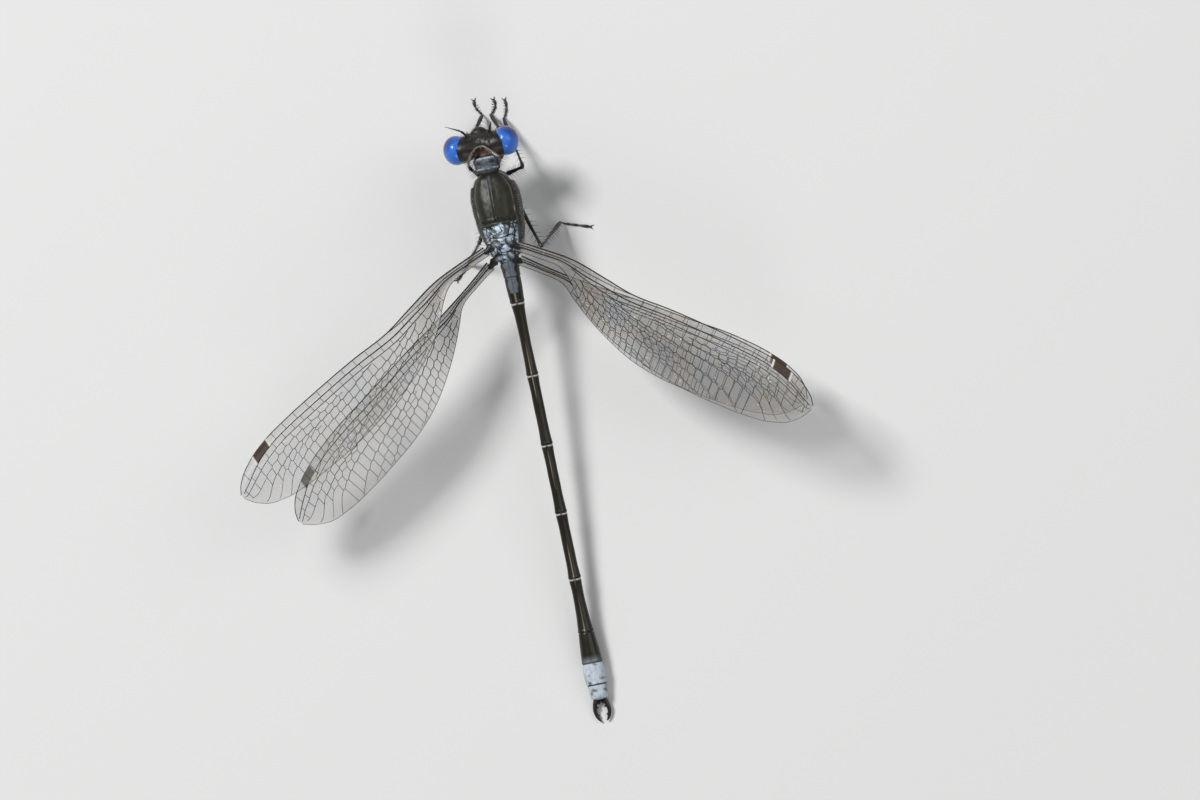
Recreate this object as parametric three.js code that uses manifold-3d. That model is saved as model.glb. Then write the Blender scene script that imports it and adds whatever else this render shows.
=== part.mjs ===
// A male spreadwing damselfly, life size, standing on its six feet with the tip of its tail on the floor.
// Millimetres. X is the animal's right, Y runs from the tail to the head, Z is up.
// The body is laid out in its own frame, level and with its origin at the front of the abdomen,
// then pitched nose up by PITCH and raised by JOINT_HEIGHT. The legs are laid out on the floor's frame.
import * as THREE from "three";
import { mergeVertices } from "three/addons/utils/BufferGeometryUtils.js";
import Module from "manifold-3d";

const wasm = await Module();
wasm.setup();

const PITCH = THREE.MathUtils.degToRad(8);
const JOINT_HEIGHT = 4.8;
const GAP = 0.28;
const TAIL_SAG = 0.2;
const TAIL_LENGTH = 31.65;

const WING_HALF = 0.25;
const WING_TIP_HALF = 0.16;
const VEIN_RISE = 0.12;
const STIGMA_RISE = 0.1;
const WING_TWIST = THREE.MathUtils.degToRad(4);

const FEMUR_RADIUS = 0.27;
const TIBIA_RADIUS = 0.25;
const TARSUS_RADIUS = 0.22;
const HEAD_CENTRE = [-0.3, 8.12, -0.35];
const EYE_RADII = [0.88, 1.0, 1.15];
const EYE_OFFSET = [1.72, -0.02, 0];
// Each eye is a cap outside a plane that leans outwards towards the back of the head.
const EYE_INNER = 1.6;
const EYE_LEAN = 0.18;

const V = (x, y, z) => new THREE.Vector3(x, y, z);

const bodyToWorld = new THREE.Matrix4().makeTranslation(0, 0, JOINT_HEIGHT);
bodyToWorld.multiply(new THREE.Matrix4().makeRotationX(PITCH));

// A surface through a row of rings of equally many points, closed over its first and last ring.
class LoftGeometry extends THREE.BufferGeometry {
  constructor(rings) {
    super();
    const around = rings[0].length;
    const points = rings.flat();
    const faces = [];
    for (let i = 0; i + 1 < rings.length; i++) {
      for (let j = 0; j < around; j++) {
        const a = i * around + j;
        const b = i * around + ((j + 1) % around);
        faces.push(a, b, b + around, a, b + around, a + around);
      }
    }
    const last = (rings.length - 1) * around;
    const first = points.length;
    points.push(middleOf(rings[0]), middleOf(rings[rings.length - 1]));
    for (let j = 0; j < around; j++) {
      const k = (j + 1) % around;
      faces.push(first, k, j, first + 1, last + j, last + k);
    }
    this.setAttribute("position", new THREE.Float32BufferAttribute(points.flatMap((p) => p.toArray()), 3));
    this.setIndex(faces);
    faceOutward(this);
  }
}

// A thin plate: one grid of points for its upper face, one for its lower, split alike, and a rim between.
class SheetGeometry extends THREE.BufferGeometry {
  constructor(rows, columns, place) {
    super();
    const points = [];
    for (const side of [1, -1]) {
      for (let i = 0; i < rows; i++) {
        for (let j = 0; j < columns; j++) points.push(place(i, j, side));
      }
    }
    const under = rows * columns;
    const faces = [];
    for (let i = 0; i + 1 < rows; i++) {
      for (let j = 0; j + 1 < columns; j++) {
        const a = i * columns + j;
        const c = a + columns;
        faces.push(a, a + 1, c + 1, a, c + 1, c);
        faces.push(under + a, under + c + 1, under + a + 1, under + a, under + c, under + c + 1);
      }
    }
    const rim = [];
    for (let j = 0; j < columns; j++) rim.push(j);
    for (let i = 1; i < rows; i++) rim.push(i * columns + columns - 1);
    for (let j = columns - 2; j >= 0; j--) rim.push((rows - 1) * columns + j);
    for (let i = rows - 2; i > 0; i--) rim.push(i * columns);
    rim.forEach((a, n) => {
      const b = rim[(n + 1) % rim.length];
      faces.push(a, under + a, under + b, a, under + b, b);
    });
    this.setAttribute("position", new THREE.Float32BufferAttribute(points.flatMap((p) => p.toArray()), 3));
    this.setIndex(faces);
    faceOutward(this);
  }
}

function middleOf(ring) {
  const sum = V(0, 0, 0);
  ring.forEach((p) => sum.add(p));
  return sum.divideScalar(ring.length);
}

// Turns every face round when the enclosed volume comes out negative.
function faceOutward(geometry) {
  const at = geometry.attributes.position;
  const index = geometry.index.array;
  const corners = [V(0, 0, 0), V(0, 0, 0), V(0, 0, 0)];
  let six = 0;
  for (let i = 0; i < index.length; i += 3) {
    corners.forEach((c, k) => c.fromBufferAttribute(at, index[i + k]));
    six += corners[0].dot(corners[1].clone().cross(corners[2]));
  }
  if (six > 0) return;
  for (let i = 0; i < index.length; i += 3) {
    [index[i + 1], index[i + 2]] = [index[i + 2], index[i + 1]];
  }
}

function solidOf(geometry) {
  const bare = new THREE.BufferGeometry();
  bare.setAttribute("position", geometry.attributes.position.clone());
  if (geometry.index) bare.setIndex(geometry.index.clone());
  const merged = mergeVertices(bare, 1e-4);
  const mesh = new wasm.Mesh({
    numProp: 3,
    vertProperties: new Float32Array(merged.attributes.position.array),
    triVerts: new Uint32Array(merged.index.array),
  });
  return new wasm.Manifold(mesh);
}

function geometryOf(solid) {
  const bodies = solid.decompose();
  bodies.sort((a, b) => b.volume() - a.volume());
  const mesh = bodies[0].getMesh();
  const geometry = new THREE.BufferGeometry();
  const points = new Float32Array(mesh.numVert * 3);
  for (let i = 0; i < mesh.numVert; i++) {
    const from = i * mesh.numProp;
    points.set(mesh.vertProperties.subarray(from, from + 3), i * 3);
  }
  geometry.setAttribute("position", new THREE.BufferAttribute(points, 3));
  geometry.setIndex(new THREE.BufferAttribute(new Uint32Array(mesh.triVerts), 1));
  return geometry;
}

function joined(pieces, cuts = []) {
  const solids = pieces.map((p) => (p.isBufferGeometry ? solidOf(p) : p));
  let solid = solids[0];
  solids.slice(1).forEach((p) => (solid = solid.add(p)));
  cuts.forEach((c) => (solid = solid.subtract(solidOf(c))));
  return geometryOf(solid);
}

function ellipsoid(radii, centre, segments = 14, turn = [0, 0, 0]) {
  const geometry = new THREE.SphereGeometry(1, segments, Math.round(segments * 0.65));
  geometry.rotateX(Math.PI / 2);
  geometry.scale(...radii);
  geometry.rotateX(turn[0]).rotateY(turn[1]).rotateZ(turn[2]);
  return geometry.translate(...centre);
}

// A round limb along a path. radii holds one radius for each point, or a pair: across and upright.
function limb(path, radii, sides, up = V(0, 0, 1)) {
  const rings = path.map((p, i) => {
    const ahead = path[Math.min(i + 1, path.length - 1)];
    const behind = path[Math.max(i - 1, 0)];
    const along = ahead.clone().sub(behind).normalize();
    const across = along.clone().cross(up).normalize();
    const upright = across.clone().cross(along);
    const [ra, ru] = Array.isArray(radii[i]) ? radii[i] : [radii[i], radii[i]];
    return Array.from({ length: sides }, (_, k) => {
      const turn = (2 * Math.PI * (k + 0.5)) / sides;
      const out = p.clone().addScaledVector(across, ra * Math.cos(turn));
      return out.addScaledVector(upright, ru * Math.sin(turn));
    });
  });
  return new LoftGeometry(rings);
}

// The value at t of a curve given as [place, value] pairs, straight between them.
function along(table, t) {
  const last = table.length - 1;
  if (t <= table[0][0]) return table[0][1];
  if (t >= table[last][0]) return table[last][1];
  const i = table.findIndex((row) => row[0] > t);
  const [a, b] = [table[i - 1], table[i]];
  return a[1] + ((b[1] - a[1]) * (t - a[0])) / (b[0] - a[0]);
}

const world = (geometry) => geometry.applyMatrix4(bodyToWorld);
const toWorld = (x, y, z) => V(x, y, z).applyMatrix4(bodyToWorld);

// Nothing reaches under the floor: what would is flattened on it.
function onFloor(geometry) {
  const at = geometry.attributes.position;
  for (let i = 0; i < at.count; i++) at.setZ(i, Math.max(at.getZ(i), 0));
  return geometry;
}

const LOOKS = {
  eye: [0x3f74d6, 0.2, 0],
  head: [0x2e2a26, 0.4, 0],
  cuticle: [0x2a2824, 0.45, 0.1],
  bronze: [0x4a4630, 0.35, 0.5],
  abdomen: [0x3b372b, 0.35, 0.4],
  pruinose: [0xa9bccb, 0.8, 0],
  slate: [0x6b7680, 0.7, 0],
  wing: [0xb9b8ac, 0.25, 0],
  gloss_black: [0x14110f, 0.25, 0],
};

const group = new THREE.Group();

function addNode(name, look, geometry) {
  const [color, roughness, metalness] = LOOKS[look];
  const material = new THREE.MeshStandardMaterial({ color, roughness, metalness });
  material.name = look;
  const mesh = new THREE.Mesh(geometry, material);
  mesh.name = name;
  group.add(mesh);
}

// Rounded masses of the head, from its middle: radii, place and number of sides.
const HEAD_MASSES = [
  [[1.3, 0.72, 0.88], [0, 0.1, 0], 18],
  [[1.35, 0.9, 1.18], [1.15, -0.1, 0], 20],
  [[1.35, 0.9, 1.18], [-1.15, -0.1, 0], 20],
  [[0.62, 0.52, 0.45], [0, 0.72, -0.2], 14],
  [[0.74, 0.4, 0.26], [0, 0.68, -0.62], 12],
  [[0.7, 0.34, 0.34], [0, 0.62, -0.98], 12],
  [[0.6, 0.62, 0.3], [0, 0.12, -1.15], 12],
  [[0.24, 0.34, 0.42], [0.64, 0.4, -0.86], 10],
  [[0.24, 0.34, 0.42], [-0.64, 0.4, -0.86], 10],
  [[0.15, 0.12, 0.11], [0.3, 0.12, 0.9], 8],
  [[0.15, 0.12, 0.11], [-0.3, 0.12, 0.9], 8],
  [[0.14, 0.12, 0.11], [0, 0.42, 0.8], 8],
  [[0.2, 0.2, 0.16], [0.72, 0.62, 0.36], 8],
  [[0.2, 0.2, 0.16], [-0.72, 0.62, 0.36], 8],
];
const HEAD_HOLLOW = [[1.1, 1.13, 1.35], [0, -1.08, 0.1], 16];
const MOUTH = [1.5, 0.5, 0.07];
const MOUTH_PLACE = [0, 0.85, -1.2];

// Points along each feeler, from the head's middle.
const ANTENNAE = {
  antenna_left: [[-0.86, 0.98, 0.5], [-0.98, 1.12, 0.58], [-1.2, 1.3, 0.72], [-1.75, 1.55, 0.9], [-2.05, 1.68, 0.96]],
  antenna_right: [[0.86, 0.98, 0.5], [0.93, 1.12, 0.62], [1.02, 1.24, 0.86], [1.14, 1.36, 1.25], [1.2, 1.4, 1.5]],
};
const ANTENNA_RADII = [0.2, 0.25, 0.2, 0.14, 0.08];

function addHead() {
  const [cx, cy, cz] = HEAD_CENTRE;
  const at = (x, y, z) => [cx + x, cy + y, cz + z];
  const mass = ([radii, place, sides]) => ellipsoid(radii, at(...place), sides);
  // A solid's part on the outer side of the eye's inner plane, moved in by a margin, or on its inner side.
  const parted = (solid, side, margin, sign) => {
    const normal = V(side, EYE_LEAN, 0);
    const reach = EYE_INNER + side * cx + EYE_LEAN * cy - margin * normal.length();
    return solid.trimByPlane(normal.multiplyScalar(sign).toArray(), (sign * reach) / normal.length());
  };
  const mouth = new THREE.BoxGeometry(...MOUTH).translate(...at(...MOUTH_PLACE));
  const whole = solidOf(joined(HEAD_MASSES.map(mass), [mass(HEAD_HOLLOW), mouth]));
  addNode("head", "head", world(geometryOf(parted(parted(whole, 1, GAP, -1), -1, GAP, -1))));
  for (const [name, side] of [["eye_left", -1], ["eye_right", 1]]) {
    const ball = solidOf(ellipsoid(EYE_RADII, at(side * EYE_OFFSET[0], EYE_OFFSET[1], EYE_OFFSET[2]), 24));
    addNode(name, "eye", world(geometryOf(parted(ball, side, 0, 1))));
  }
  for (const [name, points] of Object.entries(ANTENNAE)) {
    addNode(name, "cuticle", world(limb(points.map((p) => V(...at(...p))), ANTENNA_RADII, 8)));
  }
}

// Rows of: place along the body, half width, top, bottom and height of the mid line over the top.
const THORAX = [
  [0.12, 0.6, 0.58, -0.7, 0],
  [0.5, 0.95, 0.72, -1.3, -0.05],
  [1.1, 1.18, 0.95, -1.95, -0.14],
  [1.9, 1.35, 1.15, -2.35, -0.16],
  [2.7, 1.45, 1.3, -2.5, -0.04],
  [3.1, 1.49, 1.28, -2.52, 0.08],
  [4.0, 1.54, 1.18, -2.45, 0.12],
  [4.9, 1.48, 0.95, -2.1, 0.12],
  [5.5, 1.25, 0.72, -1.65, 0.1],
  [5.9, 0.98, 0.52, -1.25, 0.08],
  [6.08, 0.7, 0.3, -0.95, 0],
];

const PROTHORAX = [
  [6.36, 0.62, 0.16, -0.95, 0],
  [6.46, 0.82, 0.36, -1.2, 0],
  [6.62, 0.86, 0.44, -1.3, 0],
  [6.76, 0.78, 0.34, -1.32, 0],
  [6.95, 0.84, 0.42, -1.25, 0],
  [7.15, 0.74, 0.3, -1.05, 0],
  [7.28, 0.5, 0.1, -0.8, 0],
];

// The trunk narrows below its middle height by this share.
const LOWER_TAPER = 0.2;

function trunk(rows, sides, middle) {
  const rings = rows.map(([y, half, top, bottom, crest]) => {
    const centre = (top + bottom) / 2;
    return Array.from({ length: sides }, (_, k) => {
      const turn = (2 * Math.PI * k) / sides + Math.PI / 2;
      const squared = (c) => Math.sign(c) * Math.abs(c) ** 0.85;
      const z = centre + ((top - bottom) / 2) * squared(Math.sin(turn));
      const width = half * (1 - LOWER_TAPER * Math.max(0, -Math.sin(turn)) ** 2);
      return V(middle(y) + width * squared(Math.cos(turn)), y, k === 0 ? z + crest : z);
    });
  });
  return new LoftGeometry(rings);
}

const bodyMiddle = (y) => along([[0, -0.05], [5, -0.08], [7.5, -0.22]], y);

// Where a coxa is rooted in the trunk, from its hip: towards the middle, along and up.
const COXA_INNER = [-0.5, 0.1, 0.9];
const COXA_RADII = [0.42, 0.36, 0.3];

const LEGS = {
  fore_right: {
    hip: [0.45, 6.85, -1.6],
    knee: [1.25, 8.15, 3.2],
    ankle: [0.07, 10.81, 0.5],
    toe: [0.36, 11.9],
  },
  fore_left: {
    hip: [-0.79, 6.85, -1.6],
    knee: [-1.5, 8.6, 3.1],
    ankle: [-0.51, 10.88, 0.5],
    toe: [-0.93, 12.1],
  },
  mid_right: {
    hip: [0.55, 5.85, -2.3],
    knee: [2.02, 6.33, 3.9],
    ankle: [0.89, 10.37, 0.5],
    toe: [1.12, 11.72],
  },
  mid_left: {
    hip: [-0.75, 5.75, -2.3],
    knee: [-1.6, 7.0, 3.5],
    ankle: [-2.2, 8.9, 0.5],
    toe: [-1.75, 9.9],
  },
  hind_right: {
    hip: [0.9, 4.2, -3.05],
    knee: [2.32, 0.65, 4.5],
    ankle: [3.37, 2.62, 0.5],
    toe: [5.35, 1.95],
  },
  hind_left: {
    hip: [-1.05, 4.2, -3.05],
    knee: [-1.85, 1.9, 3.7],
    ankle: [-3.28, 1.19, 0.5],
    toe: [-4.35, 0.2],
  },
};

const ROOTS = {
  wing_fore_left: { at: [-1.31, 1.25, 1.4], tip: [-20.4, -11.6], rise: 9.5, hind: false },
  wing_fore_right: { at: [1.12, 1.15, 1.4], tip: [19.0, -13.6], rise: 9.5, hind: false },
  wing_hind_left: { at: [-1.36, 0.22, 0.72], tip: [-17.5, -14.25], rise: 1, hind: true },
  wing_hind_right: { at: [0.98, 0.2, 0.72], tip: [17.4, -12.6], rise: 1, hind: true },
};

function wingFrame({ at, tip, rise }) {
  const side = Math.sign(tip[0]);
  const tilt = THREE.MathUtils.degToRad(rise);
  const flat = V(tip[0] - at[0], tip[1] - at[1], 0).normalize();
  const span = flat.clone().multiplyScalar(Math.cos(tilt)).add(V(0, 0, Math.sin(tilt)));
  const ahead = V(-side * flat.y, side * flat.x, 0).normalize();
  const lift = span.clone().cross(ahead).multiplyScalar(side);
  const chord = ahead.clone().multiplyScalar(Math.cos(WING_TWIST)).addScaledVector(lift, -Math.sin(WING_TWIST));
  const normal = span.clone().cross(chord).multiplyScalar(side);
  return { origin: V(...at), span, chord, normal };
}

function addThorax() {
  const hinges = Object.values(ROOTS).map((root) => {
    const { origin, span, chord } = wingFrame(root);
    const from = origin.clone().addScaledVector(chord, -0.3);
    const path = [-1.1, -0.6, -GAP].map((d) => from.clone().addScaledVector(span, d));
    return limb(path, [[0.45, 0.3], [0.42, 0.3], [0.36, 0.26]], 8);
  });
  const trunkPieces = [
    trunk(THORAX, 24, bodyMiddle),
    ...hinges,
  ].map(world);
  const coxae = ["mid_right", "mid_left", "hind_right", "hind_left"].map(coxa);
  addNode("synthorax", "bronze", joined([...trunkPieces, ...coxae]));
  const front = [world(trunk(PROTHORAX, 18, bodyMiddle)), coxa("fore_right"), coxa("fore_left")];
  addNode("prothorax", "slate", joined(front));
  const neck = [7.54, 7.66, 7.8].map((y) => V(bodyMiddle(y), y, -0.38));
  addNode("neck", "cuticle", world(limb(neck, [0.4, 0.46, 0.42], 12)));
}

// Rows of: place behind the thorax, half width, half height. Each segment runs between its two joints.
const SEGMENTS = [
  [[0, 0.62, 0.62], [0.5, 0.6, 0.62], [1.0, 0.56, 0.58]],
  [[1.0, 0.56, 0.6], [1.7, 0.55, 0.58], [2.5, 0.5, 0.52], [2.77, 0.48, 0.48]],
  [[2.77, 0.48, 0.46], [3.2, 0.42, 0.42], [4.2, 0.36, 0.36], [6.6, 0.34, 0.34], [7.4, 0.38, 0.37], [7.73, 0.4, 0.38]],
  [[7.73, 0.39, 0.37], [8.3, 0.36, 0.35], [10, 0.34, 0.33], [11.6, 0.35, 0.34], [12.53, 0.41, 0.38]],
  [[12.53, 0.39, 0.37], [13.1, 0.36, 0.35], [14.8, 0.34, 0.33], [16.3, 0.35, 0.34], [17.23, 0.41, 0.38]],
  [[17.23, 0.39, 0.37], [17.8, 0.36, 0.35], [19.4, 0.35, 0.34], [20.9, 0.37, 0.35], [21.73, 0.43, 0.39]],
  [[21.73, 0.41, 0.38], [22.3, 0.38, 0.37], [23.8, 0.41, 0.39], [24.9, 0.48, 0.44], [25.43, 0.53, 0.48]],
  [[25.43, 0.53, 0.5], [26.2, 0.6, 0.56], [27.1, 0.68, 0.62], [27.53, 0.69, 0.62]],
  [[27.53, 0.7, 0.63], [28.0, 0.74, 0.68], [28.6, 0.73, 0.67], [29.03, 0.68, 0.62]],
  [[29.03, 0.66, 0.62], [29.4, 0.64, 0.6], [29.85, 0.58, 0.54], [30.05, 0.42, 0.4]],
];

const tailHeight = (y) => -TAIL_SAG * (y / 29) ** 2;

function addAbdomen() {
  SEGMENTS.forEach((rows, n) => {
    const from = rows[0][0] + GAP / 2;
    const to = rows[rows.length - 1][0] - GAP / 2;
    const inner = rows.map((r) => r[0]).filter((y) => y > from + 0.12 && y < to - 0.12);
    const places = [from, from + 0.08, ...inner, to - 0.08, to];
    const across = rows.map((r) => [r[0], r[1]]);
    const upright = rows.map((r) => [r[0], r[2]]);
    const path = places.map((y) => V(0, -y, tailHeight(y)));
    const radii = places.map((y, i) => {
      const end = i === 0 || i === places.length - 1 ? 0.1 : 0;
      return [along(across, y) - end, along(upright, y) - end];
    });
    addNode("abdomen_" + (n + 1), n === 8 || n === 9 ? "pruinose" : "abdomen", onFloor(world(limb(path, radii, 16))));
  });
  for (const [name, side] of [["cercus_left", -1], ["cercus_right", 1]]) {
    const path = CERCUS.map(([x, y]) => V(side * x, -y, tailHeight(y)));
    addNode(name, "gloss_black", onFloor(world(limb(path, CERCUS_RADII, 8))));
  }
}

const CERCUS = [[0.3, 30.33], [0.38, 30.5], [0.5, 30.8], [0.48, 31.15], [0.36, 31.42], [0.2, TAIL_LENGTH]];
const CERCUS_RADII = [0.16, 0.2, 0.2, 0.17, 0.14, 0.09];

// Keeps the side of a limb past the plane that halves the angle of its joint, half a gap clear of it.
function mitred(solid, joint, own, other) {
  const normal = own.clone().sub(other).normalize();
  return solid.trimByPlane(normal.toArray(), normal.dot(joint) + GAP / 2);
}

// The short first piece of a leg, cut where the femur meets it.
function coxa(name) {
  const { hip, root, knee } = jointsOf(name);
  const out = towards(root, hip);
  const path = [root, hip.clone().addScaledVector(out, -0.3), hip.clone().addScaledVector(out, 0.3)];
  return mitred(solidOf(limb(path, COXA_RADII, 10, V(0, 1, 0))), hip, out.clone().negate(), towards(hip, knee));
}

function jointsOf(name) {
  const leg = LEGS[name];
  const side = Math.sign(leg.hip[0] + 0.1);
  const toe = V(...leg.toe, TARSUS_RADIUS * 0.7);
  const ankle = V(...leg.ankle);
  return {
    hip: toWorld(...leg.hip),
    root: toWorld(leg.hip[0] + side * COXA_INNER[0], leg.hip[1] + COXA_INNER[1], leg.hip[2] + COXA_INNER[2]),
    knee: V(...leg.knee),
    ankle,
    heel: V(ankle.x, ankle.y, TARSUS_RADIUS * 0.85).lerp(toe, 0.12),
    toe,
  };
}

// A limb from one joint to the next, given in shares of its length with the radius at each.
function shank(from, to, radii) {
  const path = radii.map(([t]) => from.clone().lerp(to, t));
  return solidOf(limb(path, radii.map((r) => r[1]), 10, V(0, 1, 0)));
}

const towards = (from, to) => to.clone().sub(from).normalize();

function addLegs() {
  for (const name of Object.keys(LEGS)) {
    const { hip, root, knee, ankle, heel, toe } = jointsOf(name);
    const f = FEMUR_RADIUS;
    const t = TIBIA_RADIUS;
    const w = TARSUS_RADIUS;
    const femur = shank(hip, knee, [[-0.08, 0.9 * f], [0.1, 0.95 * f], [0.35, f], [0.9, f], [1.02, f], [1.07, 0.6 * f]]);
    const tibia = shank(knee, ankle, [[-0.05, 0.6 * t], [-0.01, t], [0.3, 0.95 * t], [0.97, 0.95 * t], [1.05, 0.7 * t]]);
    const path = [ankle.clone().lerp(heel, -0.5), ankle, heel, ...[0.35, 0.7, 0.93, 1].map((k) => heel.clone().lerp(toe, k))];
    const foot = solidOf(onFloor(limb(path, [0.9, 0.95, 1, 0.95, 0.9, 0.8, 0.5].map((k) => k * w), 10, V(0.3, 0.2, 1))));
    const [up, down] = [towards(hip, knee), towards(knee, ankle)];
    const thigh = mitred(mitred(femur, hip, up, towards(hip, root)), knee, up.clone().negate(), down);
    const shin = mitred(mitred(tibia, knee, down, up.clone().negate()), ankle, down.clone().negate(), towards(ankle, heel));
    addNode("femur_" + name, "gloss_black", geometryOf(thigh));
    addNode("tibia_" + name, "gloss_black", geometryOf(shin));
    addNode("tarsus_" + name, "gloss_black", geometryOf(mitred(foot, ankle, towards(ankle, heel), down.clone().negate())));
  }
}

// Edges of the two kinds of wing: place along the span and height over the line from root to tip.
const WINGS = {
  fore: {
    length: 23.3,
    leading: [[0, 0.05], [1.6, 0.35], [3.9, 0.7], [6.5, 0.65], [8.6, 0.57], [11.6, 0.93], [14.9, 1.2], [17.8, 1.35],
      [19.5, 1.34], [21.3, 1.05], [22.4, 0.62], [23.1, 0.05]],
    trailing: [[0, -0.6], [1.6, -0.32], [3.6, -0.22], [4.6, -0.72], [5.9, -1.6], [7.4, -2.3], [9.1, -2.8], [11.8, -3.15],
      [15.3, -3.3], [17.4, -3.15], [19.4, -2.9], [21.4, -2.4], [22.7, -1.6], [23.25, -0.6]],
  },
  hind: {
    length: 21.6,
    leading: [[0, 0.05], [1.6, 0.1], [4.5, 0.35], [8.0, 0.82], [11.8, 1.24], [15.6, 1.66], [17.9, 1.66], [19.6, 1.4],
      [20.8, 0.9], [21.5, 0.1]],
    trailing: [[0, -0.6], [1.6, -0.42], [3.5, -0.46], [4.4, -0.94], [5.9, -1.67], [7.8, -2.4], [9.9, -2.96], [12.4, -3.15],
      [14.7, -3.0], [16.8, -2.76], [18.9, -2.34], [20.6, -1.6], [21.5, -0.6]],
  },
};

// Shares of the span at which the grid is cut. The nodus and the pterostigma have cuts of their own.
const NODUS = 0.372;
const STIGMA = [0.835, 0.905];
const SPAN_CUTS = [0, 0.07, 0.15, 0.2, 0.26, 0.32, 0.358, NODUS, 0.386, 0.46, 0.54, 0.62, 0.7, 0.77, 0.825,
  STIGMA[0], STIGMA[1], 0.915, 0.95, 0.98, 1];
// Shares of the chord, and how high the vein on each stands: 1 on a crest, 0 at its foot.
const CHORD_CUTS = [[0, 0.8], [0.06, 0.1], [0.11, 1], [0.16, 0], [0.37, 0], [0.41, 0.9], [0.45, 0], [0.68, 0], [0.72, 0.8],
  [0.76, 0], [1, 0.4]];

function addWings() {
  for (const [name, root] of Object.entries(ROOTS)) {
    const shape = root.hind ? WINGS.hind : WINGS.fore;
    const { origin, span, chord, normal } = wingFrame(root);
    const edge = (table) => new THREE.SplineCurve(table.map(([e, c]) => new THREE.Vector2(e, c)));
    const [lead, trail] = [edge(shape.leading), edge(shape.trailing)];
    const place = (i, j, side) => {
      const u = SPAN_CUTS[i];
      const [v, crest] = CHORD_CUTS[j];
      const point = atSpan(lead, u * shape.length).lerp(atSpan(trail, u * shape.length), v);
      const half = THREE.MathUtils.lerp(WING_HALF, WING_TIP_HALF, u ** 3);
      const nodus = u === NODUS && v < 0.12 ? 0.08 : 0;
      const stigma = u >= STIGMA[0] && u <= STIGMA[1] && v < 0.12 ? STIGMA_RISE : 0;
      const rise = half + VEIN_RISE * crest * (1 - 0.5 * u) + nodus + stigma;
      const bow = 0.25 * Math.sin(Math.PI * u) + 0.08 * Math.sin(2 * Math.PI * v);
      const p = origin.clone().addScaledVector(span, point.x).addScaledVector(chord, point.y);
      return p.addScaledVector(normal, bow + side * rise);
    };
    addNode(name, "wing", world(new SheetGeometry(SPAN_CUTS.length, CHORD_CUTS.length, place)));
  }
}

// The point of a wing's edge at a place along the span, found by halving.
function atSpan(curve, e) {
  let [low, high] = [0, 1];
  for (let n = 0; n < 24; n++) {
    const mid = (low + high) / 2;
    if (curve.getPoint(mid).x < e) low = mid;
    else high = mid;
  }
  return curve.getPoint((low + high) / 2);
}

addHead();
addThorax();
addAbdomen();
addLegs();
addWings();

// The origin goes to the middle of the footprint, on the floor.
const box = new THREE.Box3().setFromObject(group);
const middle = box.getCenter(V(0, 0, 0));
group.traverse((o) => {
  if (o.isMesh) o.geometry.translate(-middle.x, -middle.y, -box.min.z);
});

export default group;
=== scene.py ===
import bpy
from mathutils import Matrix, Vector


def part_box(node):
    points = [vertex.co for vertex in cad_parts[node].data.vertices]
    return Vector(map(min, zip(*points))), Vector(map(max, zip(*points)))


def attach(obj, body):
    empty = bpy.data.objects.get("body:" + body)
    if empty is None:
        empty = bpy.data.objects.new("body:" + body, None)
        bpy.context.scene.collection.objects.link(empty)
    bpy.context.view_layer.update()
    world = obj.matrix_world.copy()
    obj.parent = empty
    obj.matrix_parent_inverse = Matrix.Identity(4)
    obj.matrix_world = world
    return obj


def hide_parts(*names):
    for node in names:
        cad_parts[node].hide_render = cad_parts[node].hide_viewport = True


bl_info = {
    "name": "Spreadwing Damselfly",
    "version": (1, 0, 0),
    "blender": (4, 5, 0),
    "location": "View3D > Sidebar > Damselfly",
    "description": "A male spreadwing damselfly at life size, standing with its wings half open",
    "category": "Add Mesh",
}

import bpy
import numpy as np
from bpy.props import FloatProperty, FloatVectorProperty, IntProperty, PointerProperty
from mathutils import Matrix, Vector

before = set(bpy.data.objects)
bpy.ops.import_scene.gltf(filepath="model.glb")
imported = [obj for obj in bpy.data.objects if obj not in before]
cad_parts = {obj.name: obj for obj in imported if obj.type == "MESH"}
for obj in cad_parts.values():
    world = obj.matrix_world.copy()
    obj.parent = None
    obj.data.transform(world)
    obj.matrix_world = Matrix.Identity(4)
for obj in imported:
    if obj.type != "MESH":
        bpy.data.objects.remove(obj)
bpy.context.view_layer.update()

# Lengths below are millimetres. Body parts are laid out in the body's own frame, level, with X to
# the animal's right, Y to its head and Z up, and its origin where the tail meets the thorax.
MM = 0.001
PITCH = np.radians(8)
JOINT_HEIGHT = 4.8
EYE_RADII = np.array([0.88, 1.0, 1.15])
EYE_OFFSET = np.array([1.72, -0.02, 0.0])
HEAD = np.array([-0.3, 8.12, -0.35])
TURN = np.array([[1, 0, 0], [0, np.cos(PITCH), -np.sin(PITCH)], [0, np.sin(PITCH), np.cos(PITCH)]])


def body_origin():
    """The body frame's origin in the row frame: the middle between the eyes, less its own place."""
    corners = np.array([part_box(name) for name in ("eye_left", "eye_right")]) / MM
    return corners.mean(axis=(0, 1)) - TURN @ (HEAD + EYE_OFFSET * (0, 1, 1))


ORIGIN = body_origin()


def body(points):
    """Points of the body frame, in the row frame: turned nose up by the pitch, then moved."""
    return np.asarray(points, float) @ TURN.T + ORIGIN


def ground(points):
    """Points given from the floor under the body's origin, in the row frame."""
    return np.asarray(points, float) + ORIGIN - (0, 0, JOINT_HEIGHT)


def unit(v):
    return v / np.maximum(np.linalg.norm(v, axis=-1, keepdims=True), 1e-12)


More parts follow.
